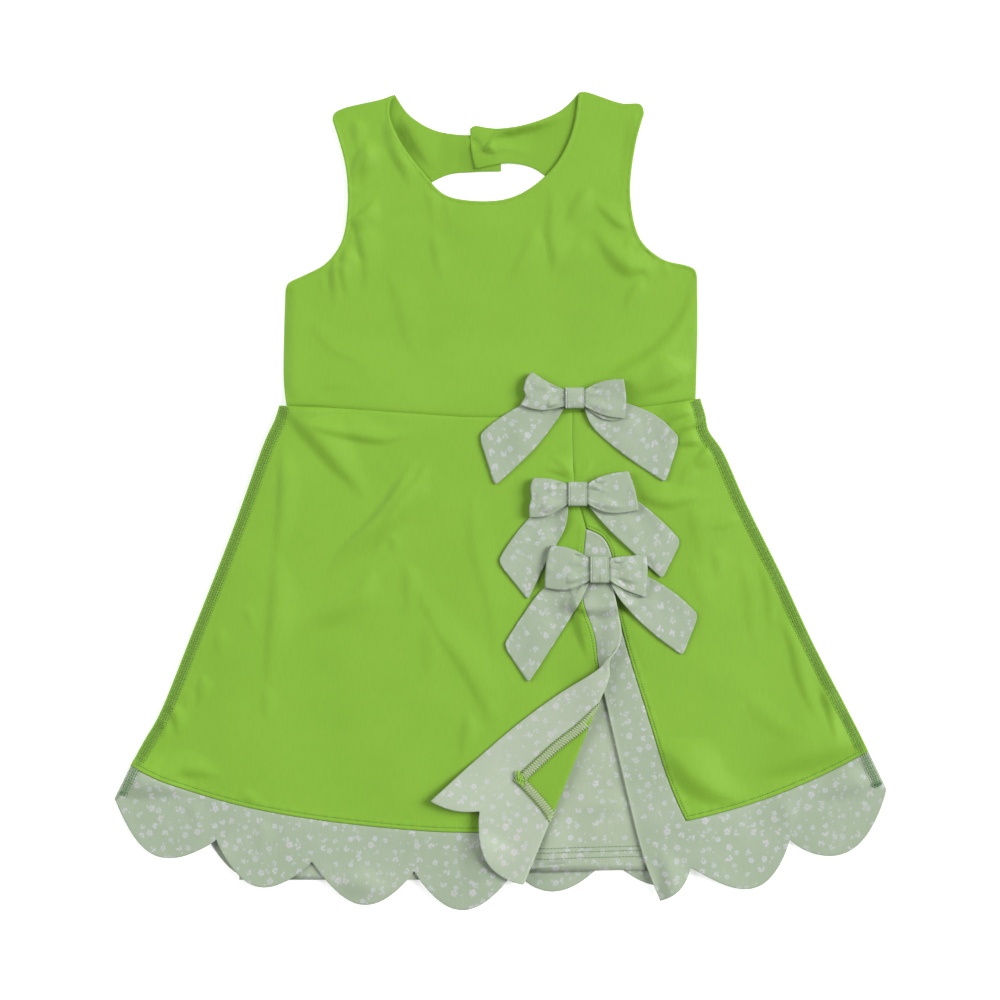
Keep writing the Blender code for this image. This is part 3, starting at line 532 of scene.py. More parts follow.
def over_button(x, y):
    """How far the button lifts the cloth on it."""
    away = np.hypot(x - BUTTON_AT[0], y - BUTTON_AT[1])
    return (BUTTON_HEIGHT + GAP) * (1.0 - smooth((away - BUTTON_RADIUS - BUTTON_CLEAR) / NAPE_FALL))


def back_left(points):
    """The back's left half: its neck end lies on the button."""
    x, y = points.T
    height = WALL / 2 + over_button(x, y) + creases(points, NAPE_CREASES[5:])
    return np.column_stack([points, height])


def back_right(points):
    """The back's right half: its tab lies on the left neck end."""
    x, y = points.T
    high = smooth((y - CUTOUT_BOTTOM - 2 * NAPE_FALL) / NAPE_FALL)
    lap = LAYER * (1.0 - smooth((x - TAB_LIES_OVER) / TAB_FALL)) * high
    height = WALL / 2 + over_button(x, y) + lap + creases(points, NAPE_CREASES[:5])
    return np.column_stack([points, height])


waist = edge(WAIST)
bodice_right = [edge(BODICE_SIDE_RIGHT), edge(ARMHOLE_RIGHT), edge(SHOULDER_RIGHT)]
bodice_left = [edge(SHOULDER_LEFT), edge(ARMHOLE_LEFT), edge(BODICE_SIDE_LEFT)]
waist_left_x, waist_right_x = BODICE_SIDE_LEFT[-1][0], BODICE_SIDE_RIGHT[0][0]


def bodice_back():
    """Both halves, joined along the centre below the cut-out."""
    waist_at_centre = float(np.interp(BACK_CENTRE, waist[:, 0], waist[:, 1])) + SEAM
    centre = even([(BACK_CENTRE, CUTOUT_BOTTOM), (BACK_CENTRE, waist_at_centre)], EDGE_STEP)
    left = outline(
        aside(stretch(waist, waist_left_x, BACK_CENTRE), SEAM)[:-1],
        centre[::-1],
        edge(CUTOUT_LEFT)[1:],
        edge(NECK_BACK_LEFT),
        *bodice_left,
    )
    right = outline(
        centre,
        aside(stretch(waist, BACK_CENTRE, waist_right_x), SEAM)[1:],
        *bodice_right,
        edge(NECK_BACK_RIGHT),
        edge(TAB_END),
        edge(CUTOUT_RIGHT)[:-1],
    )
    flat, middle, faces, rims, known = [], [], [], [], {}
    for loop, place in ((left, back_left), (right, back_right)):
        points, cut = fill(loop, BACK_STEP)
        placed = place(points)
        below = points[:, 1] < CUTOUT_BOTTOM + SAME_POINT
        on_centre = (abs(points[:, 0] - BACK_CENTRE) < SAME_POINT) & below
        rim = np.where(on_centre, 1.0, rounded(distance(points, loop)))
        index = []
        for k, point in enumerate(points):
            key = ("centre", round(float(point[1]), 2)) if on_centre[k] else ("off centre", len(flat))
            if key not in known:
                known[key] = len(flat)
                flat.append(point)
                middle.append(placed[k])
                rims.append(rim[k])
            index.append(known[key])
        faces.append(np.array(index)[cut])
    piece = shell(
        "cloth_bodice_back", np.array(flat), np.array(middle), np.vstack(faces), green_inside, np.array(rims)
    )
    size = np.ptp(np.vstack([left, right]), axis=0)
    declare(piece, size)


bodice_back()

# The button under the nape: a small round polished plastic disc with a raised rim, turned in one
# piece. It is sewn to the lower neck end and the tab above is pinched over it.

BUTTON_SIDES = 48
BUTTON_BASE = 0.05
BUTTON_FOOT = 5.0
BUTTON_CLOUDS = 400.0
BUTTON_PROFILE = [(5.5, 0.4), (5.5, 1.5), (5.2, 1.95), (4.6, 2.0), (4.1, 1.7), (3.7, 1.35), (0.0, 1.3)]


def neck_button():
    """A turned disc, closed below."""
    work = bmesh.new()
    profile = [(0.0, BUTTON_BASE), (BUTTON_FOOT, BUTTON_BASE)] + BUTTON_PROFILE
    verts = [work.verts.new((r * MM, 0.0, z * MM)) for r, z in profile]
    edges = [work.edges.new(pair) for pair in zip(verts, verts[1:])]
    bmesh.ops.spin(
        work,
        geom=verts + edges,
        axis=(0, 0, 1),
        cent=(0, 0, 0),
        steps=BUTTON_SIDES,
        angle=2 * math.pi,
        use_merge=True,
    )
    bmesh.ops.remove_doubles(work, verts=work.verts, dist=1e-6)
    bmesh.ops.recalc_face_normals(work, faces=work.faces)
    bmesh.ops.translate(work, verts=work.verts, vec=(BUTTON_AT[0] * MM, BUTTON_AT[1] * MM, 0.0))
    mesh = bpy.data.meshes.new("nape_button")
    work.to_mesh(mesh)
    work.free()
    mesh.shade_smooth()
    plastic, tree, shader = new_material("green_button")
    clouds = node(tree, "ShaderNodeTexNoise", {"Scale": BUTTON_CLOUDS, "Detail": 2.0})
    tone = mix(tree, clouds.outputs["Fac"], lit(112, 160, 52), lit(126, 174, 62))
    tree.links.new(tone, shader.inputs["Base Color"])
    set_sockets(shader, {"Roughness": 0.22, "Coat Weight": 0.3})
    mesh.materials.append(plastic)
    button = add("nape_button", mesh)
    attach(button, "root")
    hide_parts("neck_button")


neck_button()

# The skirt's back and its band: one wide green panel, and below it the band of print knit whose lower
# edge is cut in scallops. They lie face down on the ground and show only past the front's scallops.

SKIRT_SIDE_RIGHT = [(250.0, -171.6), (242.6, -156.1), (213.0, -98.9), (190.4, -50.3), (166.0, -1.0),
                    (150.9, 32.6), (141.4, 46.6), (139.4, 56.5), (135.8, 68.0)]
SKIRT_SIDE_LEFT = [(-149.8, 63.2), (-152.3, 54.5), (-159.1, 39.8), (-182.9, -25.5), (-208.8, -90.8),
                   (-231.9, -147.9), (-241.4, -164.2), (-250.6, -181.2)]
HEM_SEAM_BACK = [(-250.6, -181.2), (-168.0, -205.0), (-91.0, -214.0), (0.0, -217.0), (91.0, -212.0),
                 (171.0, -198.0), (250.0, -171.6)]
# Scallops: each notch, how far the scallop after it hangs, and its lean, above 1 towards the next
SCALLOPS_BACK = [
    (-261.6, -203.7, 22.0, 1.1),
    (-198.0, -231.0, 22.0, 1.0),
    (-133.0, -243.0, 20.0, 1.0),
    (-62.0, -248.5, 20.0, 1.0),
    (7.5, -248.0, 20.5, 0.85),
    (72.0, -245.0, 19.0, 1.3),
    (131.5, -243.0, 20.0, 1.0),
    (198.0, -225.0, 20.0, 0.85),
    (262.3, -197.0, 0.0, 1.0),
]
SCALLOP_POWER = 0.85
SCALLOP_STEPS = 40

# The print: the cells that hold a flower or a dot, their sizes, their softness and how they vary. In
# each pair the first number is a factor and the second is added.
FLOWER_CELL = 0.0083
FLOWER = 0.002
FLOWER_SIZES = (0.4, 0.8)
FLOWER_STRENGTHS = (0.4, 0.6)
FLOWERS_MISSING = 0.07
PETALS = 5
PETAL_RING = 0.6
PETAL_SIZE = 0.43
PETAL_SIZES = (0.45, 0.7)
PETALS_MISSING = 0.2
DOT_CELL = 0.007
DOT = 0.00075
DOT_SIZES = (0.5, 0.75)
DOT_STRENGTH = 0.65
DOTS_MISSING = 0.42
DOT_SHIFT = 0.731
SCATTER = 0.82
SOFT = 0.00056
RAGGED = 0.0014
RAGGED_NOISE = 700.0
PRINT_NOISE = 45.0
PRINT_TONE = (2.4, -0.8)
PRINT_STRENGTH = 0.85


def scallops(rows):
    """A scalloped hem from the first notch to the last."""
    line = [np.array(rows[0][:2])]
    for (x, y, drop, lean), (next_x, next_y, *_) in zip(rows, rows[1:]):
        start, chord = np.array([x, y]), np.array([next_x - x, next_y - y])
        down = np.array([chord[1], -chord[0]]) / np.linalg.norm(chord)
        for k in range(1, SCALLOP_STEPS + 1):
            t = ((1 - math.cos(math.pi * k / SCALLOP_STEPS)) / 2 + k / SCALLOP_STEPS) / 2
            hang = max(0.0, math.sin(math.pi * t**lean)) ** SCALLOP_POWER
            line.append(start + t * chord + drop * hang * down)
    return even(line, EDGE_STEP)


def scattered(tree, where, cell, shift):
    """Places of a scatter: how far each point is from the nearest one, the angle to it, and chance."""
    moved = node(tree, "ShaderNodeVectorMath", {0: where, 1: (shift, shift * 0.37, 0.0)}, operation="ADD")
    spots = node(
        tree,
        "ShaderNodeTexVoronoi",
        {"Vector": moved.outputs[0], "Scale": 1.0 / cell, "Randomness": SCATTER},
        voronoi_dimensions="2D",
    )
    away = node(
        tree,
        "ShaderNodeVectorMath",
        {0: moved.outputs[0], 1: spots.outputs["Position"]},
        operation="SUBTRACT",
    )
    split = node(tree, "ShaderNodeSeparateXYZ", {0: away.outputs[0]})
    far = node(tree, "ShaderNodeVectorMath", {0: away.outputs[0]}, operation="LENGTH")
    chance = node(tree, "ShaderNodeSeparateColor", {0: spots.outputs["Color"]})
    return far.outputs["Value"], maths(tree, "ARCTAN2", split.outputs[1], split.outputs[0]), chance.outputs


def petals(tree, far, angle, chance, size):
    """How far inside one of a flower's round petals each point is, with some of them missing."""
    sector = 2 * math.pi / PETALS
    place = maths(tree, "DIVIDE", maths(tree, "MULTIPLY_ADD", chance[0], 6.28, angle), sector)
    turn = maths(tree, "MULTIPLY", maths(tree, "SUBTRACT", maths(tree, "FRACT", place), 0.5), sector)
    out = maths(tree, "MULTIPLY", far, maths(tree, "COSINE", turn))
    side = maths(tree, "MULTIPLY", far, maths(tree, "SINE", turn))
    from_ring = maths(tree, "SUBTRACT", out, maths(tree, "MULTIPLY", size, PETAL_RING))
    squares = maths(tree, "MULTIPLY_ADD", side, side, maths(tree, "MULTIPLY", from_ring, from_ring))
    number = maths(tree, "MULTIPLY_ADD", chance[1], 57.0, maths(tree, "FLOOR", place))
    kept = node(tree, "ShaderNodeTexWhiteNoise", {"W": number}, noise_dimensions="1D").outputs["Value"]
    plump = maths(tree, "MULTIPLY", maths(tree, "MULTIPLY_ADD", kept, *PETAL_SIZES), size)
    reach = maths(tree, "MULTIPLY", maths(tree, "GREATER_THAN", kept, PETALS_MISSING), plump)
    return maths(tree, "SUBTRACT", maths(tree, "MULTIPLY", reach, PETAL_SIZE), maths(tree, "SQRT", squares))


def flower_print():
    """Small flowers of soft round petals round a hollow eye, and dots between them, on the flat cut."""
    tree, given, result = group(
        "flower print",
        [("Flower", "NodeSocketFloat", FLOWER), ("Dot", "NodeSocketFloat", DOT)],
        [("Petals", "NodeSocketFloat"), ("Tone", "NodeSocketFloat"), ("Blush", "NodeSocketFloat")],
    )
    cut = node(tree, "ShaderNodeUVMap", uv_map="Cut").outputs[0]
    wander = node(tree, "ShaderNodeTexNoise", {"Vector": cut, "Scale": RAGGED_NOISE, "Detail": 1.0})
    shift = node(
        tree, "ShaderNodeVectorMath", {0: wander.outputs["Color"], 1: (0.5, 0.5, 0.5)}, operation="SUBTRACT"
    )
    ragged = node(tree, "ShaderNodeVectorMath", {0: shift.outputs[0], "Scale": RAGGED}, operation="SCALE")
    where = node(tree, "ShaderNodeVectorMath", {0: cut, 1: ragged.outputs[0]}, operation="ADD").outputs[0]
    far, angle, chance = scattered(tree, where, FLOWER_CELL, 0.0)
    share = maths(tree, "MULTIPLY_ADD", chance[1], *FLOWER_SIZES)
    size = maths(tree, "MULTIPLY", share, given.outputs["Flower"])
    deep = petals(tree, far, angle, chance, size)
    soft = node(tree, "ShaderNodeMapRange", {0: deep, 1: -SOFT, 2: SOFT}, interpolation_type="SMOOTHSTEP")
    there = maths(tree, "GREATER_THAN", chance[2], FLOWERS_MISSING)
    strong = maths(tree, "MULTIPLY", there, maths(tree, "MULTIPLY_ADD", chance[0], *FLOWER_STRENGTHS))
    flower = maths(tree, "MULTIPLY", soft.outputs[0], strong)
    tree.links.new(chance[1], result.inputs["Blush"])
    far, _, chance = scattered(tree, where, DOT_CELL, DOT_SHIFT)
    share = maths(tree, "MULTIPLY_ADD", chance[1], *DOT_SIZES)
    size = maths(tree, "MULTIPLY", share, given.outputs["Dot"])
    deep = maths(tree, "SUBTRACT", size, far)
    soft = node(tree, "ShaderNodeMapRange", {0: deep, 1: -SOFT, 2: SOFT}, interpolation_type="SMOOTHSTEP")
    there = maths(tree, "MULTIPLY", maths(tree, "GREATER_THAN", chance[2], DOTS_MISSING), DOT_STRENGTH)
    dots = maths(tree, "MULTIPLY", soft.outputs[0], there)
    tree.links.new(maths(tree, "MAXIMUM", flower, dots), result.inputs["Petals"])
    tone = node(tree, "ShaderNodeTexNoise", {"Vector": cut, "Scale": PRINT_NOISE, "Detail": 2.0})
    tree.links.new(tone.outputs["Fac"], result.inputs["Tone"])


def print_material(name, ground, shade, blossom, blush):
    """Pale knit with the small flower print, in two tints."""
    made = cloth_material(name, ground, shade, knit_depth=0.3, sheen=0.1, roughness=0.66)
    tree = made.node_tree
    shader = tree.nodes["Principled BSDF"]
    base = shader.inputs["Base Color"].links[0].from_socket
    flowers = node(tree, "ShaderNodeGroup", node_tree=bpy.data.node_groups["flower print"])
    tinted = mix(tree, maths(tree, "MULTIPLY_ADD", flowers.outputs["Tone"], *PRINT_TONE), base, shade)
    tint = mix(tree, flowers.outputs["Blush"], blossom, blush)
    shown = mix(tree, maths(tree, "MULTIPLY", flowers.outputs["Petals"], PRINT_STRENGTH), tinted, tint)
    tree.links.new(shown, shader.inputs["Base Color"])
    return made


flower_print()
floral = print_material(
    "print_knit", lit(185, 199, 175), lit(172, 189, 162), lit(208, 216, 222), lit(218, 214, 222)
)
floral_inside = print_material(
    "print_knit_inside", lit(196, 208, 186), lit(186, 200, 176), lit(214, 217, 224), lit(224, 217, 225)
)
# A lighter copy of the print for the shorts: painted light, making up for the shade they lie in under the
# front
floral_painted_lighter = print_material(
    "print_knit_painted_lighter", lit(191, 204, 180), lit(178, 194, 167), lit(210, 218, 224), lit(220, 216, 224)
)
skirt_side_left, skirt_side_right = edge(SKIRT_SIDE_LEFT), edge(SKIRT_SIDE_RIGHT)
hem_seam_back = edge(HEM_SEAM_BACK)
skirt_left_x, skirt_right_x = WAIST[0][0], WAIST[-1][0]


def on_ground(points):
    """Cloth that lies on the ground."""
    return np.column_stack([points, np.full(len(points), WALL / 2)])


panel(
    "skirt_back",
    outline(
        skirt_side_left,
        aside(hem_seam_back, SEAM),
        skirt_side_right,
        aside(stretch(waist, skirt_left_x, skirt_right_x), -SEAM)[::-1],
    ),
    on_ground,
    step=8.0,
    finish=green_inside,
)
panel(
    "band_back",
    outline(scallops(SCALLOPS_BACK), aside(hem_seam_back, -SEAM)[::-1]),
    on_ground,
    step=5.0,
    finish=floral,
)

# The inner shorts: two legs of the print knit, each a front and a back, sewn into the waist seam.
# Only the lower front of one leg shows in the slit, with its hem held by three rows of green stitches.

CROTCH = (-20.0, -128.0)
SHORTS_WAIST_CENTRE = (-7.0, 52.0)
SHORTS_SIDE_LEFT = [(-128.0, 59.0), (-152.0, -20.0), (-170.0, -120.0), (-177.0, -258.7)]
SHORTS_SIDE_RIGHT = [(126.5, -251.0), (132.0, -120.0), (124.0, -20.0), (113.0, 60.0)]
INSEAM_LEFT = [(-33.0, -258.7), (-29.0, -190.0), (-20.0, -128.0)]
INSEAM_RIGHT = [(-20.0, -128.0), (-16.0, -190.0), (-12.0, -254.5)]
SHORTS_CREASES = [
    ([(92, -206), (76, -212), (60, -213.5), (40, -213)], 1.3, 8, 14),
    ([(24, -258), (28, -236), (35, -212), (44, -192)], 2.6, 8, 22),
    ([(50, -238), (62, -228), (66, -212)], 0.6, 6, 7),
]

centre_of_shorts = edge([CROTCH, SHORTS_WAIST_CENTRE])
inner_left = outline(edge(INSEAM_LEFT), centre_of_shorts) - (SEAM, 0.0)
inner_right = outline(centre_of_shorts[::-1], edge(INSEAM_RIGHT)) + (SEAM, 0.0)
legs = {
    "left": outline(edge(SHORTS_SIDE_LEFT), inner_left),
    "right": outline(inner_right, edge(SHORTS_SIDE_RIGHT)),
}


def shorts_layer(layer):
    """How a layer of the shorts lies: on the layers below, with soft creases on the front one."""

    def place(points):
        height = WALL / 2 + LAYER * layer
        return np.column_stack([points, height + (layer > 1) * creases(points, SHORTS_CREASES)])

    return place


# Both layers of the shorts wear the lighter copy of the print, with its painted light
for side_name, layer, step in (("back", 1, 9.0), ("front", 2, 4.0)):
    for leg, loop in legs.items():
        laid = shorts_layer(layer)
        panel(f"shorts_{side_name}_{leg}", loop, laid, step, floral_painted_lighter)

# The front of the bodice: one green panel with the shoulder straps in one with it. Its neck and
# armholes are narrow turned edges, and it creases where the straps pull at the armholes.

NECK_FRONT = [(53.4, 275.6), (48.7, 248.3), (38.1, 227.2), (20.6, 210.8), (3.0, 203.2), (-22.7, 202.6),
              (-38.5, 207.0), (-51.8, 221.1), (-69.0, 244.5), (-75.3, 262.2), (-72.6, 274.0)]
BODICE_CREASES = [
    ([(-90.4, 243.8), (-94.5, 237.0), (-97.9, 228.8), (-103.6, 212.0)], 2.4, 3.4, 14.0),
    ([(-101.0, 259.4), (-99.4, 248.0), (-97.8, 234.0)], 1.6, 5.0, 9.0),
    ([(-90.5, 246.0), (-92.5, 229.0), (-94.5, 208.0)], 2.0, 5.0, 12.0),
    ([(-78.2, 260.0), (-75.5, 243.8), (-71.0, 232.2), (-60.5, 209.0)], 3.8, 8.0, 22.0),
    ([(-69.0, 258.0), (-65.5, 245.0), (-58.0, 232.0), (-50.0, 222.0)], -2.4, 4.0, 9.0),
    ([(-104.0, 190.0), (-97.9, 191.4), (-92.5, 195.5), (-83.0, 208.0)], 2.8, 3.8, 14.0),
    ([(-102.7, 188.0), (-98.6, 184.6), (-95.9, 175.8), (-92.5, 154.0), (-93.8, 138.0)], 1.9, 4.0, 16.0),
    ([(-101.3, 174.0), (-107.4, 160.8), (-104.0, 134.0)], 2.8, 4.0, 16.0),
    ([(-112.2, 166.0), (-114.2, 154.0), (-113.0, 130.0)], 2.4, 4.0, 12.0),
    ([(-122.4, 153.0), (-122.0, 146.0), (-120.4, 138.0)], 0.4, 3.0, 6.0),
    ([(-105.0, 205.0), (-99.0, 206.5), (-93.0, 210.0)], 0.8, 3.5, 6.0),
    ([(-78.5, 158.0), (-68.5, 126.0), (-63.9, 106.4), (-57.0, 96.2), (-56.4, 84.0)], 0.9, 8.0, 18.0),
    ([(-50.3, 211.0), (-47.9, 196.2), (-45.4, 184.0)], 0.8, 3.5, 9.0),
    ([(-47.9, 184.6), (-46.2, 171.0), (-42.8, 157.4), (-39.5, 143.0)], 0.9, 3.5, 11.0),
    ([(-39.0, 205.0), (-36.5, 193.0), (-36.0, 180.0)], 0.4, 3.5, 8.0),
    ([(-133.0, 124.5), (-114.8, 100.0), (-98.0, 91.8), (-89.1, 83.0), (-88.4, 68.4)], 0.5, 5.0, 13.0),
    ([(-122.0, 73.6), (-110.0, 75.2), (-96.0, 77.6)], 0.6, 4.0, 8.0),
    ([(34.7, 150.0), (35.4, 162.2), (32.0, 179.2), (33.3, 196.2), (34.0, 217.0)], 1.9, 6.5, 18.0),
    ([(22.8, 190.0), (17.0, 172.4), (10.2, 157.4), (3.4, 139.0)], 1.3, 7.0, 15.0),
    ([(63.6, 214.6), (54.4, 206.4), (47.6, 194.8), (41.0, 177.0)], 1.8, 6.0, 11.0),
    ([(55.4, 180.0), (47.6, 164.2), (36.4, 148.6)], 1.0, 7.0, 12.0),
    ([(91.0, 182.8), (79.6, 185.3), (71.4, 192.8), (59.0, 206.0)], 1.7, 4.5, 13.0),
    (
        [(102.0, 147.0), (96.6, 153.7), (86.4, 153.4), (79.0, 158.4), (70.8, 169.0), (61.0, 187.0)],
        3.4, 10.0, 18.0,
    ),
    ([(91.1, 160.0), (93.2, 165.6), (100.0, 168.3), (103.4, 164.2), (106.1, 154.4)], 0.9, 3.0, 6.0),
    ([(84.4, 170.4), (91.0, 173.0), (96.2, 174.8)], 0.9, 3.0, 5.0),
    ([(108.0, 160.0), (111.5, 154.0), (113.0, 147.0)], 0.6, 3.0, 5.0),
    ([(97.0, 153.0), (86.4, 137.0), (84.2, 122.0)], 1.1, 5.0, 10.0),
    ([(58.6, 75.0), (89.8, 92.0), (108.8, 106.0), (122.4, 123.4), (133.2, 154.0)], 4.4, 10.0, 26.0),
    ([(132.6, 94.0), (120.4, 80.2), (90.0, 69.0)], 3.0, 8.0, 20.0),
    ([(131.5, 122.0), (126.0, 108.0), (117.0, 97.0)], 0.8, 5.0, 8.0),
    ([(90.2, 268.2), (86.4, 239.0), (80.6, 206.0)], 1.0, 8.0, 12.0),
]
FRONT_STEP = 2.1
ROWS_STEP = 1.6

# How the front lies: its loose waves, and how it comes down outside the shorts
WAVE_RISE = 0.8
FINE_WAVE_RISE = 0.22
SHORTS_MARGIN = 5.0
SHORTS_FALL = 48.0
COVER_STEP = 11.0

# Seams and edges: how deep a seam sinks, the bead and groove of a turned edge, and the hem's double
# cloth with its stitches' groove and pucker
SEAM_DIP = 0.55
SEAM_WIDTH = 1.3
SEAM_ROWS = (2.2,)
EDGE_ROWS = (1.9, 2.7, 3.6)
EDGE_BEAD = 0.42
EDGE_BEAD_AT = 1.0
EDGE_GROOVE = 0.1
EDGE_GROOVE_AT = 2.7
EDGE_WIDTH = 0.9
HEM_WIDTH = 3.0
SLIT_WIDTH = 2.2
HEM_RISE = 0.34
HEM_ENDS_AT = 0.8
HEM_FALL = 1.5
STITCH_GROOVE = 0.24
STITCH_GROOVE_WIDTH = 0.7
PUCKER = 0.13
PUCKER_WIDTH = 2.6

# The left side, turned down: how wide and deep, the swelling beside it, and where it starts
SIDE_ROLL = 6.0
SIDE_DROP = 1.65
SIDE_BULGE = 0.5
SIDE_BULGE_AT = 8.0
SIDE_BULGE_WIDTH = 7.0
SIDE_FROM = 12.0

shorts_cover = outline(
    edge(SHORTS_SIDE_LEFT, COVER_STEP),
    [INSEAM_LEFT[0], INSEAM_RIGHT[-1]],
    edge(SHORTS_SIDE_RIGHT, COVER_STEP),
)


def outside_by(points, loop):
    """How far outside a closed outline each point is, and 0 inside it."""
    return np.where(inside(points, loop), 0.0, distance(points, loop))


def waves(points):
    """Low, broad waves of cloth that lies loose, and finer ones on them. Each number under x or y sets
    how long a wave is."""
    x, y = points.T
    wave = np.sin(x / 17.0 + 1.3 * np.sin(y / 41.0)) * np.sin(y / 33.0 + x / 71.0)
    fine = np.sin((x + 0.5 * y) / 9.0 + np.sin(y / 19.0)) * np.sin(y / 14.0 - x / 37.0)
    return WAVE_RISE * (0.5 + 0.5 * wave) + FINE_WAVE_RISE * (0.5 + 0.5 * fine)


def front_height(points):
    """The front without its creases: on the back at the sides, and over the shorts inside them."""
    over = 1.0 - smooth((outside_by(points, shorts_cover) - SHORTS_MARGIN) / SHORTS_FALL)
    return WALL / 2 + LAYER * (1 + 2 * over) + waves(points)


def dipped(points, line, depth=SEAM_DIP, width=SEAM_WIDTH):
    """A plain seam, which sinks between its two cloths."""
    return -depth * hump(distance(points, line, closed=False), width)


def beaded(points, line):
    """A narrow turned edge: a soft bead and a shallow groove behind it."""
    away = distance(points, line, closed=False)
    groove = EDGE_GROOVE * hump(away - EDGE_GROOVE_AT, EDGE_WIDTH)
    return EDGE_BEAD * hump(away - EDGE_BEAD_AT, EDGE_WIDTH) - groove


def hemmed(points, hem, slit):
    """The topstitched hem and slit: the cloth is double out to the stitches, which pull a groove and
    pucker."""
    from_hem, share_of_hem = near(points, hem[::3])
    from_slit, share_of_slit = near(points, slit[::3])
    at_hem = abs(from_hem) < abs(from_slit)
    past = abs(np.where(at_hem, from_hem, from_slit)) - np.where(at_hem, HEM_WIDTH, SLIT_WIDTH)
    hem_length = np.linalg.norm(np.diff(hem, axis=0), axis=1).sum()
    along = np.where(at_hem, share_of_hem, share_of_slit) * hem_length
    double = HEM_RISE * (1 - smooth((past - HEM_ENDS_AT) / HEM_FALL))
    groove = STITCH_GROOVE * hump(past, STITCH_GROOVE_WIDTH)
    pucker = PUCKER * np.sin(along * 0.95 + 2.0 * np.sin(along * 0.11)) * hump(past, PUCKER_WIDTH)
    return double - groove + pucker


def rows_along(line, offsets):
    """Rows of points beside a line, for the fine shape of its seam."""
    return [even(aside(line, by), ROWS_STEP) for by in offsets]


def bodice_front_place(points):
    """The bodice's front with its creases, turned down at the left side."""
    away = distance(points, bodice_left[2], closed=False)
    sunk = SIDE_DROP * (1 - smooth(away / SIDE_ROLL))
    sunk = sunk - SIDE_BULGE * hump(away - SIDE_BULGE_AT, SIDE_BULGE_WIDTH)
    sunk = sunk * smooth((points[:, 1] - BODICE_SIDE_LEFT[-1][1]) / SIDE_FROM)
    height = front_height(points) + creases(points, BODICE_CREASES, CREASE_SPREAD)
    return np.column_stack([points, height - sunk])


neck_front = edge(NECK_FRONT)
bodice_waist = aside(stretch(waist, waist_left_x, waist_right_x), SEAM)
armholes = [bodice_right[1], bodice_left[1]]


def bodice_relief(points):
    """The seam at the waist and the turned edges of neck and armholes."""
    turned_edges = [neck_front, *armholes]
    return dipped(points, bodice_waist) + sum(beaded(points, line) for line in turned_edges)


bodice_rows = rows_along(bodice_waist, SEAM_ROWS)
for line in (neck_front, *armholes):
    bodice_rows += rows_along(line, EDGE_ROWS) + rows_along(line, [-by for by in EDGE_ROWS])
panel(
    "bodice_front",
    outline(bodice_waist, *bodice_right, neck_front, *bodice_left),
    bodice_front_place,
    step=FRONT_STEP,
    finish=green,
    rows=bodice_rows,
    relief=bodice_relief,
)

# The skirt's front right of the slit and its band: the green panel's slit and hem edges are turned
# and topstitched over the band of print knit, which is one L-shaped cut down the slit and round the hem.

CENTRE_SEAM = [(49.4, 58.9), (50.6, 13.0), (54.0, -4.0), (58.3, -20.3)]
SLIT_SEAM_RIGHT = [(58.9, -20.5), (69.8, -26.2), (75.6, -38.0), (77.5, -62.9), (83.6, -91.9),
                   (97.9, -139.1), (116.3, -196.2), (126.4, -218.5)]
SLIT_EDGE_RIGHT = [(59.6, -24.0), (57.0, -42.0), (56.4, -69.0), (61.2, -96.2), (70.7, -134.0),
                   (86.8, -203.0), (97.2, -243.1), (108.6, -272.6)]
HEM_SEAM_RIGHT = [(126.4, -218.5), (171.4, -206.9), (212.8, -190.7), (250.0, -171.6)]
SCALLOPS_FRONT_RIGHT = [
    (108.6, -272.8, 4.7, 1.0),
    (129.1, -250.1, 25.6, 1.15),
    (196.7, -231.3, 26.0, 0.82),
    (262.3, -197.0, 0.0, 1.0),
]
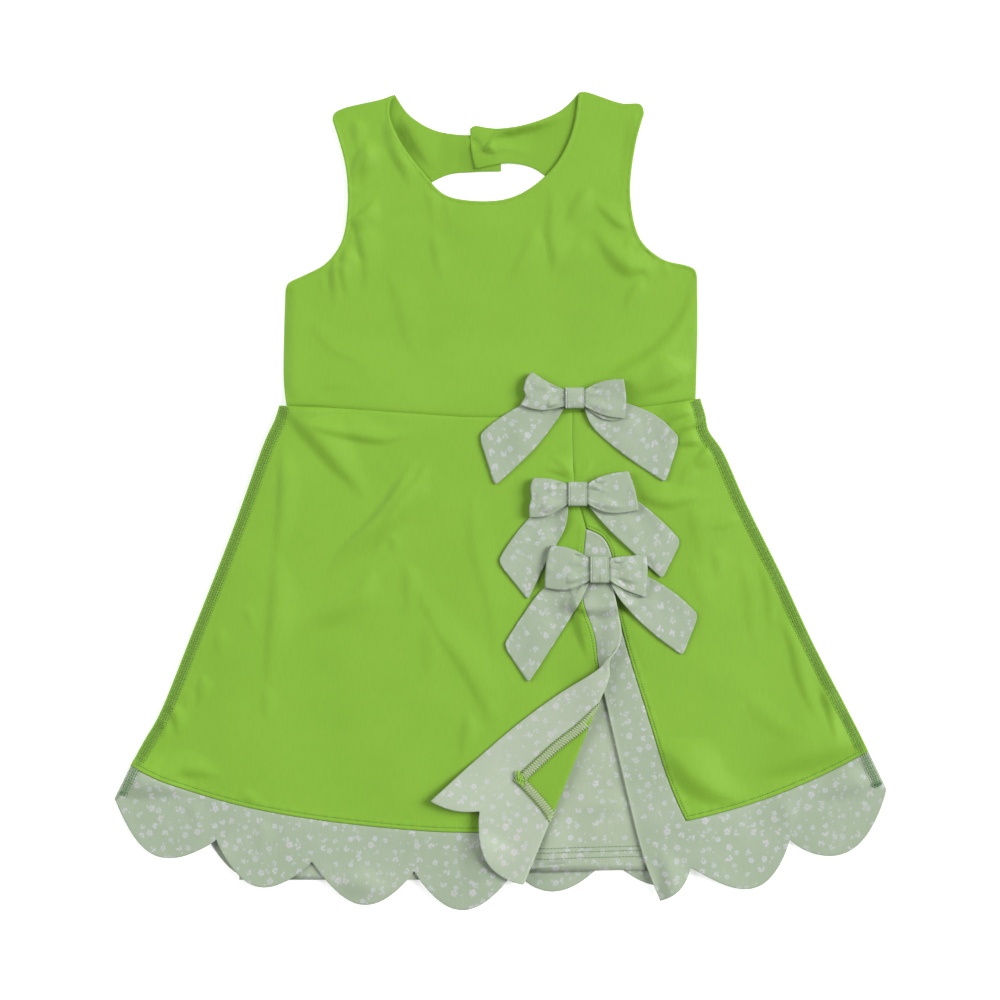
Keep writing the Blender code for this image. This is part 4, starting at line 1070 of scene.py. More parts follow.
RIGHT_CREASES = [
    ([(136.0, 58.4), (124.4, 56.4), (113.6, 51.4), (106.0, 45.0)], 3.2, 3.8, 5.0),
    ([(140.0, 53.0), (130.6, 48.6), (120.0, 44.3), (110.0, 37.0)], 3.2, 3.8, 5.0),
    ([(137.0, 37.8), (127.0, 36.6), (117.0, 36.0)], 2.6, 3.8, 5.0),
    ([(142.0, 38.0), (135.5, 30.0), (126.0, 21.0)], 2.4, 4.0, 7.0),
    ([(127.6, 28.2), (123.8, 16.0), (118.0, 1.4)], 0.8, 5.0, 10.0),
    ([(92.0, 3.0), (112.2, -5.1), (125.8, -2.4), (143.0, 0.6)], 2.5, 8.0, 14.0),
    ([(126.6, -2.8), (130.6, -21.4), (134.8, -43.4)], 0.8, 8.0, 14.0),
    ([(166.0, -14.0), (153.0, -19.4), (136.0, -20.0)], 1.0, 5.0, 9.0),
    ([(125.2, -41.2), (132.6, -60.2), (142.0, -84.6)], 0.6, 7.0, 14.0),
    ([(144.0, -33.0), (145.8, -45.0), (146.4, -58.4)], 0.8, 5.0, 9.0),
    ([(159.2, -38.8), (166.6, -62.2), (168.0, -84.0), (175.8, -112.8)], 0.8, 7.0, 14.0),
    ([(174.2, -42.2), (180.2, -62.2), (181.8, -92.4)], 1.3, 6.0, 10.0),
    ([(189.4, -80.0), (197.2, -101.0), (202.0, -121.4), (208.8, -138.4), (219.6, -156.0)], 2.0, 6.0, 13.0),
    ([(216.6, -126.2), (222.4, -143.8), (228.0, -169.0)], 2.6, 4.6, 12.0),
    ([(162.6, -133.0), (181.6, -154.0), (198.6, -162.2), (214.8, -162.6)], 0.8, 10.0, 14.0),
    ([(252.0, -166.0), (224.0, -176.0), (194.0, -184.0), (166.0, -192.0)], 4.6, 18.0, 30.0),
    ([(256.0, -194.0), (234.0, -200.0), (208.0, -205.0)], 2.6, 11.0, 14.0),
    ([(104.0, -163.0), (116.0, -181.0), (129.0, -195.0), (147.0, -204.0), (176.0, -208.0)], 5.0, 16.0, 26.0),
    ([(51.0, 13.0), (58.0, 21.0), (63.0, 31.0)], 0.9, 2.8, 5.0),
    ([(51.0, 9.0), (63.0, 7.0), (76.0, 2.0)], 1.0, 3.0, 5.0),
    ([(64.5, -64.0), (67.0, -80.0), (72.0, -98.0)], 0.8, 4.0, 9.0),
    ([(109.0, -277.0), (111.0, -259.0), (106.0, -236.0)], 3.2, 9.0, 14.0),
    ([(188.0, -205.0), (193.0, -217.0), (193.5, -229.0)], 0.8, 6.0, 9.0),
]


def front_right_place(points):
    """The right front with its creases."""
    return np.column_stack([points, front_height(points) + creases(points, RIGHT_CREASES, CREASE_SPREAD)])


CENTRE_DIP = 0.4
HEM_ROWS = (1.7, 2.2, 2.8, 3.4, 4.2)
BAND_STEP = 2.6
BAND_DIP = (0.3, 1.0)

centre_seam = edge(CENTRE_SEAM)
slit_seam_right = edge(SLIT_SEAM_RIGHT)
slit_edge_right = edge(SLIT_EDGE_RIGHT)
hem_seam_right = edge(HEM_SEAM_RIGHT)
right_of_slit = outline(slit_seam_right, hem_seam_right)
right_waist = aside(stretch(waist, CENTRE_SEAM[0][0], skirt_right_x), -SEAM)[::-1]


def skirt_right_relief(points):
    """Seams at the waist and centre, and the topstitched slit and hem."""
    sunk = dipped(points, right_waist) + dipped(points, centre_seam, CENTRE_DIP)
    return sunk + hemmed(points, hem_seam_right, slit_seam_right)


panel(
    "skirt_front_right",
    outline(aside(centre_seam, SEAM), aside(right_of_slit, SEAM), skirt_side_right, right_waist),
    front_right_place,
    step=FRONT_STEP,
    finish=green,
    rows=rows_along(right_of_slit, HEM_ROWS) + rows_along(right_waist, SEAM_ROWS),
    relief=skirt_right_relief,
)

right_band = outline(
    aside(right_of_slit, -SEAM), scallops(SCALLOPS_FRONT_RIGHT)[::-1], slit_edge_right[::-1]
)[::-1]
panel(
    "band_front_right",
    right_band,
    front_right_place,
    step=BAND_STEP,
    finish=floral,
    relief=lambda points: dipped(points, right_of_slit, *BAND_DIP),
    size=(56.0, 430.0),
    rolled=slit_edge_right,
    wrong=floral_inside,
)

# The skirt's front left of the slit and its band: cut as on the right, but its lower corner is turned
# over, so the band's and the skirt's wrong sides show there. The fold is a soft roll.

SLIT_SEAM_LEFT = [(58.3, -20.3), (56.2, -41.8), (56.0, -69.0), (63.6, -92.1), (68.3, -120.0),
                  (68.8, -158.0), (71.2, -180.0), (72.6, -216.8)]
SLIT_EDGE_LEFT = [(59.4, -21.0), (69.8, -26.6), (75.4, -38.0), (77.3, -62.9), (82.6, -91.0),
                  (84.6, -120.0), (92.4, -156.0), (97.0, -186.0), (100.2, -226.0), (102.4, -266.2)]
HEM_SEAM_LEFT = [(-250.6, -181.2), (-225.0, -193.4), (-168.0, -209.9), (-91.0, -221.8), (-15.0, -226.2),
                 (24.0, -221.6), (46.0, -217.6), (72.6, -216.8)]
SCALLOPS_FRONT_LEFT = [
    (-261.6, -203.7, 25.8, 1.12),
    (-192.4, -231.3, 24.8, 1.05),
    (-127.5, -246.2, 26.2, 1.1),
    (-58.2, -252.3, 26.0, 1.0),
    (8.2, -254.0, 18.6, 0.95),
    (74.0, -247.4, 3.2, 1.0),
    (102.4, -266.2, 0.0, 1.0),
]
LEFT_CREASES = [
    ([(-152.0, 66.0), (-122.4, 33.0), (-112.2, 21.4), (-102.0, 11.2), (-88.0, -7.0)], 4.0, 11.0, 16.0),
    ([(-141.0, 58.2), (-122.4, 57.0), (-102.4, 60.0)], 1.8, 5.0, 5.0),
    ([(-134.0, 50.0), (-110.8, 43.4), (-80.2, 38.5), (-68.0, 40.5), (-50.0, 47.0)], 2.9, 6.5, 14.0),
    ([(-106.0, 50.1), (-96.0, 52.6), (-86.4, 56.2)], 0.9, 4.0, 5.0),
    ([(-57.8, 29.2), (-81.6, -7.8), (-105.4, -33.0), (-114.2, -46.6), (-120.0, -60.8)], 3.6, 6.0, 13.0),
    ([(-48.6, 27.8), (-61.2, 7.8), (-73.4, -7.8), (-82.1, -24.8), (-89.4, -47.2)], 2.6, 6.0, 13.0),
    ([(-87.4, -43.2), (-95.2, -58.8), (-112.2, -70.4), (-127.8, -80.6), (-139.0, -96.2)], 2.2, 8.0, 15.0),
    ([(-148.2, 40.4), (-148.9, 19.4), (-149.6, -1.0), (-151.6, -24.8), (-154.0, -50.6)], 1.8, 5.5, 13.0),
    ([(-152.3, -34.0), (-155.0, -69.0), (-156.4, -87.4), (-158.4, -107.8), (-158.4, -138.6)], 1.9, 8.0, 16.0),
    ([(-65.3, -41.2), (-64.6, -62.2), (-63.7, -84.2)], 1.1, 7.0, 10.0),
    ([(-2.0, -164.0), (-10.8, -143.8), (-24.4, -118.0), (-44.8, -87.4), (-66.0, -43.6)], 1.4, 8.0, 20.0),
    ([(-50.0, -78.6), (-51.0, -99.6), (-50.6, -129.8)], 0.8, 9.0, 13.0),
    ([(-18.6, 11.8), (-20.4, -31.6), (-13.6, -55.4), (-6.1, -92.8), (-5.4, -127.4)], 0.8, 7.0, 16.0),
    ([(-75.2, -23.0), (-73.4, -32.0), (-71.0, -41.8)], 0.7, 4.0, 8.0),
    ([(-232.0, -192.0), (-210.8, -187.0), (-186.0, -190.4)], 2.5, 8.5, 14.0),
    ([(-21.8, -143.2), (-25.5, -161.0), (-27.2, -181.8)], 1.3, 6.0, 11.0),
    ([(-223.6, -139.8), (-221.0, -151.0), (-220.1, -162.8)], 1.8, 4.0, 8.0),
    ([(-228.3, -148.6), (-228.6, -158.0), (-227.6, -167.6)], 0.9, 3.0, 5.0),
    ([(-202.2, -118.0), (-204.4, -131.0), (-204.7, -143.8)], 1.2, 4.0, 9.0),
    ([(-212.0, -128.0), (-214.0, -140.0), (-213.0, -150.0)], 0.6, 3.0, 6.0),
    ([(-190.0, -86.0), (-192.5, -98.0), (-192.0, -110.0)], 0.8, 3.5, 8.0),
    ([(-159.8, -124.8), (-160.4, -139.0), (-158.7, -155.0)], 0.8, 5.0, 9.0),
    ([(-178.8, -201.0), (-168.0, -205.6), (-157.8, -209.2)], 0.9, 5.0, 6.0),
    ([(-174.4, -71.8), (-170.8, -82.0), (-165.6, -92.8)], 0.7, 4.0, 6.0),
    ([(-256.0, -203.0), (-235.0, -199.0), (-206.0, -202.0)], 4.6, 13.0, 16.0),
    ([(-114.0, -262.0), (-97.0, -266.0), (-70.0, -268.0)], 2.2, 12.0, 14.0),
    ([(-162.8, -215.0), (-164.5, -232.0), (-162.8, -249.0)], 0.9, 7.0, 10.0),
    ([(-214.0, -206.0), (-208.0, -219.0), (-208.5, -232.0)], 0.8, 6.0, 9.0),
    ([(-16.0, -222.0), (-19.0, -238.0), (-26.0, -264.0)], 3.4, 17.0, 24.0),
    ([(50.0, 14.5), (42.5, 21.0), (33.0, 29.0)], 1.6, 2.8, 5.0),
    ([(50.0, 11.5), (41.0, 17.0), (27.0, 20.5)], 1.5, 2.8, 5.0),
    ([(46.0, -56.0), (49.5, -72.0), (54.0, -92.0), (61.5, -116.0)], 3.6, 5.0, 12.0),
    ([(96.0, -72.0), (79.0, -76.0), (68.0, -78.0), (58.0, -76.5), (34.0, -71.0)], 5.4, 8.5, 13.0),
    ([(77.0, -124.0), (73.0, -104.0), (70.5, -88.0), (72.0, -62.0)], 4.4, 19.0, 20.0),
]
LAP_MARGIN = 4.0
LAP_FALL = 26.0

# The turned corner: a point on its fold, the fold's direction, the radius it is rolled to, how far it
# takes to settle, and how finely the roll is divided
FOLD_POINT = (70.7, -130.2)
FOLD_ANGLE = math.radians(-112.5)
FOLD_RADIUS = 1.8
FOLD_SETTLE = 25.0
FOLD_STEPS = 12
ROLL_FROM = -60.0
ROLL_TO = 180.0
ROLL_STEP = 1.8

# The twist where the fold begins: its place and reach, how it pulls, lifts and flattens the cloth, how
# far past the fold the lift settles, how far down the fold it is highest, and how long it is
TWIST_AT = np.array([80.0, -107.0])
TWIST_REACH = np.array([10.0, 10.0])
TWIST_PULL = np.array([-5.6, -2.0])
TWIST_LIFT = 1.0
TWIST_FLAT = 0.68
TWIST_SETTLE = 18.0
TWIST_CREST = 22.0
TWIST_LENGTH = 26.0

# How the corner's tip stands up: how high, and from where and over how far, past and down the fold
CURL = 5.0
CURL_FROM = np.array([8.0, 70.0])
CURL_OVER = np.array([34.0, 45.0])

fold_along = np.array([math.cos(FOLD_ANGLE), math.sin(FOLD_ANGLE)])
fold_across = np.array([-fold_along[1], fold_along[0]])
fold_start = np.array(FOLD_POINT) - fold_across * (FOLD_RADIUS + WALL / 2)
fold_length = math.pi * FOLD_RADIUS
slit_seam_left = edge(SLIT_SEAM_LEFT)
slit_edge_left = edge(SLIT_EDGE_LEFT)
hem_seam_left = edge(HEM_SEAM_LEFT)
left_of_slit = outline(hem_seam_left, slit_seam_left[::-1])
left_waist = aside(stretch(waist, skirt_left_x, CENTRE_SEAM[0][0]), -SEAM)[::-1]
right_band_cover = outline(
    edge(SLIT_SEAM_RIGHT, COVER_STEP),
    edge(HEM_SEAM_RIGHT, COVER_STEP),
    scallops(SCALLOPS_FRONT_RIGHT)[::-4],
    edge(SLIT_EDGE_RIGHT, COVER_STEP)[::-1],
)


def left_height(points):
    """The left front, lapped over the right band, with its creases."""
    lap = 1.0 - smooth((outside_by(points, right_band_cover) - LAP_MARGIN) / LAP_FALL)
    return front_height(points) + LAYER * lap + creases(points, LEFT_CREASES, CREASE_SPREAD)


def turned(points):
    """The left front's flat cut as it lies: flat, rolled over the fold, then back over itself. Where
    the fold begins the cloth twists, which lifts it and draws its free edge in."""
    past = (points - fold_start) @ fold_across
    foot = points - past[:, None] * fold_across
    angle = np.clip(past, 0.0, fold_length) / FOLD_RADIUS
    after = np.maximum(past - fold_length, 0.0)
    reach = np.where(past < 0, past, FOLD_RADIUS * np.sin(angle) - after)
    flat = foot + reach[:, None] * fold_across
    under = np.where((past > 0)[:, None], foot - after[:, None] * fold_across, flat)
    lay = LAYER + (2 * FOLD_RADIUS - LAYER) * hump(after, FOLD_SETTLE)
    down = (flat - FOLD_POINT) @ fold_along
    lay = lay + CURL * smooth((np.column_stack([after, down]) - CURL_FROM) / CURL_OVER).prod(axis=1)
    lift = np.where(after > 0, lay, FOLD_RADIUS * (1 - np.cos(angle)))
    pulled = np.exp(-(((flat - TWIST_AT) / TWIST_REACH) ** 2).sum(axis=1))
    from_crest = (flat - TWIST_AT) @ fold_along - TWIST_CREST
    high = TWIST_LIFT * hump(from_crest, TWIST_LENGTH) * (1 - pulled)
    high = high * np.where(after > 0, hump(after, TWIST_SETTLE), (1 - np.cos(angle)) / 2)
    lift = lift * (1 - TWIST_FLAT * pulled) + high
    return np.column_stack([flat + pulled[:, None] * TWIST_PULL, left_height(under) + lift + pulled])


def skirt_left_relief(points):
    """Seams at the waist and centre, and the topstitched slit and hem."""
    sunk = dipped(points, left_waist) + dipped(points, centre_seam, CENTRE_DIP)
    return sunk + hemmed(points, hem_seam_left, slit_seam_left)


roll_levels = np.linspace(0.0, fold_length, FOLD_STEPS + 1)
roll_reach = np.arange(ROLL_FROM, ROLL_TO, ROLL_STEP)
roll_rows = [fold_start + roll_reach[:, None] * fold_along + v * fold_across for v in roll_levels]
panel(
    "skirt_front_left",
    outline(
        skirt_side_left,
        aside(left_of_slit, SEAM),
        aside(centre_seam, -SEAM)[::-1],
        left_waist,
    ),
    turned,
    step=FRONT_STEP,
    finish=green,
    rows=roll_rows + rows_along(left_of_slit, HEM_ROWS) + rows_along(left_waist, SEAM_ROWS),
    relief=skirt_left_relief,
    wrong=green_inside,
)
panel(
    "band_front_left",
    outline(scallops(SCALLOPS_FRONT_LEFT), slit_edge_left[::-1], aside(left_of_slit, -SEAM)[::-1]),
    turned,
    step=BAND_STEP,
    finish=floral,
    rows=roll_rows,
    relief=lambda points: dipped(points, left_of_slit, *BAND_DIP),
    size=(56.0, 620.0),
    rolled=slit_edge_left,
    wrong=floral_inside,
)

# Stitches: green topstitching round the slit and hem, a wide flatlock seam down each side of the
# skirt, serging on the turned corner's wrong side and three rows of coverstitch on the shorts' hem.

# Thread: how round it is drawn, its radius, how far a stitch's middle stands up, its thickness at the
# ends and what the middle adds, and the heights that stitches and knots lie at
THREAD_SIDES = 5
THREAD_STEPS = 4
THREAD = 0.32
THREAD_THICKNESS = (0.55, 0.45)
STITCH = 1.9
STITCH_GAP = 0.8
STITCH_RISE = 0.12
STITCH_HEIGHT = CLOTH / 2 + 0.12
KNOT_HEIGHT = CLOTH / 2 + 0.4
STITCHES_SHOW_BELOW = -62.0

# The flatlock seam: its width and edge, the thread that goes to and fro, and the chain rows on it
FLATLOCK_WIDTH = 6.2
FLATLOCK_EDGE = 1.1
FLATLOCK_STEP = 1.2
FLATLOCK_THREAD = 0.22
FLATLOCK_HEIGHT = CLOTH / 2 + 0.1
FLATLOCK_ROWS = 5
CHAIN_STEP = 1.8
CHAIN_THREAD = 0.34
CHAIN_HEIGHT = CLOTH / 2 + 0.24
ZIGZAG_RISE = 0.14

# Serging: its width, its loops and the bed under them, and where it starts past the fold
SERGE_WIDTH = 6.3
SERGE_STEP = 1.8
SERGE_THREAD = 0.3
SERGE_BED_STEP = 0.7
SERGE_BED_THREAD = 0.4
SERGE_UNDER = CLOTH / 2 + 0.3
SERGE_UP_TO = 0.62
SERGE_FROM = 0.3
SERGE_ROWS = (-0.2, SERGE_WIDTH + 0.2)

# The shorts' hem: its three rows of coverstitch above the edge
COVER_ROWS = (9.1, 13.2, 16.2)
COVER_STITCH = 2.3


def threads(name, starts, ends, ups, radius, rise, finish):
    """Short arched lengths of thread between pairs of points, joined in one mesh."""
    along = np.linspace(0.0, 1.0, THREAD_STEPS + 1)
    turn = np.arange(THREAD_SIDES) * 2 * math.pi / THREAD_SIDES
    run = unit(ends - starts)
    side = unit(np.cross(run, ups))
    up = np.cross(side, run)
    arch = np.sin(math.pi * along) ** 0.7 * rise
    centre = starts[:, None] + (ends - starts)[:, None] * along[None, :, None]
    centre = centre + up[:, None] * arch[None, :, None]
    thick = radius * (THREAD_THICKNESS[0] + THREAD_THICKNESS[1] * np.sin(math.pi * along) ** 0.5)
    circle = side[:, None, None] * np.cos(turn)[None, None, :, None]
    circle = circle + up[:, None, None] * np.sin(turn)[None, None, :, None]
    points = centre[:, :, None] + circle * thick[None, :, None, None]
    count = (THREAD_STEPS + 1) * THREAD_SIDES
    template = []
    for k in range(THREAD_STEPS):
        for j in range(THREAD_SIDES):
            a, b = k * THREAD_SIDES + j, k * THREAD_SIDES + (j + 1) % THREAD_SIDES
            template.append((a, a + THREAD_SIDES, b + THREAD_SIDES, b))
    quads = (np.array(template)[None] + np.arange(len(starts))[:, None, None] * count).reshape(-1, 4)
    first = np.arange(THREAD_SIDES)
    caps = np.vstack([first, first[::-1] + THREAD_STEPS * THREAD_SIDES])
    ends_of = (caps[None] + np.arange(len(starts))[:, None, None] * count).reshape(-1, THREAD_SIDES)
    piece = mesh_object(name, points.reshape(-1, 3), quads.tolist() + ends_of.tolist(), finish)
    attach(piece, "root")


def on_cloth(points, place, lift):
    """Points just over a laid cloth, and which way is up there; below 0 is its other side."""
    nudge = 0.4
    here = place(points)
    run_x = place(points + (nudge, 0.0)) - place(points - (nudge, 0.0))
    run_y = place(points + (0.0, nudge)) - place(points - (0.0, nudge))
    up = unit(np.cross(run_x, run_y)) * np.sign(lift)
    return here + up * abs(lift), up


def thread_material(name, colour, shade):
    """Twisted polyester thread with a soft gloss."""
    made, tree, shader = new_material(name)
    fuzz = node(tree, "ShaderNodeTexNoise", {"Scale": 2500.0, "Detail": 2.0})
    tree.links.new(mix(tree, fuzz.outputs["Fac"], colour, shade), shader.inputs["Base Color"])
    set_sockets(shader, {"Roughness": 0.5, "Sheen Weight": 0.2})
    return made


# The topstitching thread is its own green, drawn darker as painted shade for the small shadows of its stitch
# holes
green_thread_painted_shade = thread_material("green_thread_painted_shade", lit(100, 150, 38), lit(86, 134, 32))
seam_thread = thread_material("seam_thread", lit(152, 202, 70), lit(136, 188, 56))
low_thread = thread_material("low_thread", lit(130, 178, 58), lit(116, 164, 48))
pale_thread = thread_material("pale_thread", lit(206, 218, 186), lit(192, 208, 168))
bed_thread = thread_material("bed_thread", lit(160, 188, 108), lit(146, 176, 92))
knot_thread = thread_material("knot_thread", lit(178, 228, 92), lit(150, 206, 66))
cover_thread = thread_material("cover_thread", lit(132, 172, 124), lit(118, 160, 110))


def topstitch(name, line, place, inset, finish, lift=STITCH_HEIGHT, step=STITCH, radius=THREAD):
    """A row of lockstitches along a line, moved aside by the inset."""
    marks = even(aside(line, inset), step)
    run = unit(np.diff(marks, axis=0))
    starts, up = on_cloth(marks[:-1] + run * STITCH_GAP / 2, place, lift)
    ends, _ = on_cloth(marks[1:] - run * STITCH_GAP / 2, place, lift)
    threads(name, starts, ends, up, radius, STITCH_RISE, finish)


topstitch("stitches_slit_right", slit_seam_right, front_right_place, SLIT_WIDTH, green_thread_painted_shade)
topstitch("stitches_hem_right", hem_seam_right, front_right_place, HEM_WIDTH, green_thread_painted_shade)
shown_left_slit = slit_seam_left[slit_seam_left[:, 1] < STITCHES_SHOW_BELOW]
topstitch("stitches_slit_left", shown_left_slit, turned, -SLIT_WIDTH, green_thread_painted_shade)
topstitch("stitches_hem_left", hem_seam_left, turned, HEM_WIDTH, green_thread_painted_shade)


def zigzag(name, line, place, near_side, far_side, step, radius, finish, lift, end=None):
    """Thread that crosses to and fro between two rows beside a line."""
    inner = even(aside(line, near_side), step)
    outer = even(aside(line, far_side), step)
    share = np.linspace(0.0, 1.0, len(inner))
    at = np.linspace(0.0, 1.0, len(outer))
    outer = np.stack([np.interp(share, at, outer[:, k]) for k in range(2)], axis=1)
    if end is not None:
        outer = end(inner, outer)
    there, up = on_cloth(inner, place, lift)
    back, up_back = on_cloth(outer, place, lift)
    starts = np.vstack([there[:-1], back[:-1]])
    ends = np.vstack([back[:-1], there[1:]])
    threads(name, starts, ends, np.vstack([up[:-1], up_back[:-1]]), radius, ZIGZAG_RISE, finish)


def flatlock(name, line, place, below, above):
    """A wide flat seam beside an edge: thread to and fro, and rows of chain stitches on it."""
    near_side, far_side = FLATLOCK_EDGE, FLATLOCK_EDGE + FLATLOCK_WIDTH
    zigzag(
        name, line, place, near_side, far_side, FLATLOCK_STEP, FLATLOCK_THREAD, below, FLATLOCK_HEIGHT
    )
    for number, inset in enumerate(np.linspace(near_side, far_side, FLATLOCK_ROWS), 1):
        row_name = f"{name}_row_{number}"
        topstitch(row_name, line, place, inset, above, CHAIN_HEIGHT, CHAIN_STEP, CHAIN_THREAD)


band_side_left = even([SKIRT_SIDE_LEFT[-1], SCALLOPS_FRONT_LEFT[0][:2]], EDGE_STEP)
band_side_right = even([SCALLOPS_FRONT_RIGHT[-1][:2], SKIRT_SIDE_RIGHT[0]], EDGE_STEP)
flatlock("flatlock_left", skirt_side_left, turned, low_thread, seam_thread)
flatlock("flatlock_right", skirt_side_right, front_right_place, low_thread, seam_thread)
flatlock("flatlock_band_left", band_side_left[:-2], turned, cover_thread, pale_thread)
flatlock("flatlock_band_right", band_side_right[2:], front_right_place, cover_thread, pale_thread)


def past_fold(line):
    """How far past its fold's crest each point of the left front's cut lies."""
    return (line - fold_start) @ fold_across - fold_length * SERGE_UP_TO


def up_to_fold(inner, outer):
    """The far ends of strokes, moved back to the crest where they would cross it."""
    start, end = past_fold(inner), past_fold(outer)
    share = np.where(end < 0, start / np.maximum(start - end, 1e-9), 1.0)
    return inner + (outer - inner) * np.clip(share, 0.05, 1.0)[:, None]


for name, line, sign in (("slit", slit_seam_left, -1), ("hem", hem_seam_left, 1)):
    line = even(line, 0.5)
    shown = line[past_fold(line) > SERGE_FROM]
    reach = SERGE_WIDTH * sign
    for kind, step, radius, finish, lift in (
        ("bed", SERGE_BED_STEP, SERGE_BED_THREAD, bed_thread, -SERGE_UNDER),
        ("loops", SERGE_STEP, SERGE_THREAD, pale_thread, -SERGE_UNDER - 0.4),
    ):
        serging = f"serging_{kind}_{name}"
        zigzag(serging, shown, turned, 0.0, reach, step, radius, finish, lift, up_to_fold)
    for number, inset in enumerate(SERGE_ROWS, 1):
        beside = aside(line, inset * sign)
        beside = beside[past_fold(beside) > SERGE_FROM]
        row_name = f"serging_{name}_row_{number}"
        topstitch(row_name, beside, turned, 0.0, seam_thread, -SERGE_UNDER - 0.2, SERGE_STEP)


def thread_knot(name, at, place, radius, turns, finish, lift):
    """A small tangle of thread, as where a seam's end is run off."""
    angle = np.linspace(0.0, 2 * math.pi * turns, round(turns * 14))
    wander = radius * (0.62 + 0.38 * np.sin(angle * 0.37 + 1.0))
    flat = np.array(at) + np.column_stack([1.2 * wander * np.cos(angle), 0.7 * wander * np.sin(angle * 1.03)])
    points, up = on_cloth(flat, place, lift)
    points = points + up * (0.5 + 0.5 * np.sin(angle * 2.3))[:, None]
    threads(name, points[:-1], points[1:], up[:-1], SERGE_THREAD, 0.0, finish)


# Where the seams' threads end: the corner of the serging, both sides of the hem, and the shorts' hem
SERGING_END = (SLIT_SEAM_LEFT[-1][0] - 2.4, SLIT_SEAM_LEFT[-1][1] + 4.0)
LEFT_END = (-256.0, -199.5)
RIGHT_END = (255.8, -194.0)
COVER_END = (21.5, -234.0)
thread_knot("serging_end", SERGING_END, turned, 4.4, 11.0, knot_thread, -KNOT_HEIGHT - 1.0)
thread_knot("flatlock_end_left", LEFT_END, turned, 1.8, 4.0, cover_thread, KNOT_HEIGHT)
thread_knot("flatlock_end_right", RIGHT_END, front_right_place, 2.8, 5.0, cover_thread, KNOT_HEIGHT)
shorts_hem = even([INSEAM_RIGHT[-1], SHORTS_SIDE_RIGHT[0]], EDGE_STEP)
front_shorts = shorts_layer(2)
for number, inset in enumerate(COVER_ROWS, 1):
    topstitch(
        f"coverstitch_{number}", shorts_hem, front_shorts, inset, cover_thread, step=COVER_STITCH
    )
thread_knot("coverstitch_end", COVER_END, front_shorts, 2.6, 2.0, cover_thread, KNOT_HEIGHT)

# The three bows: strips of the print knit sewn into flat tubes. Each has two slanted tails, a double
# loop pinched in pleats at the middle, and a short strip wrapped round both as the knot.

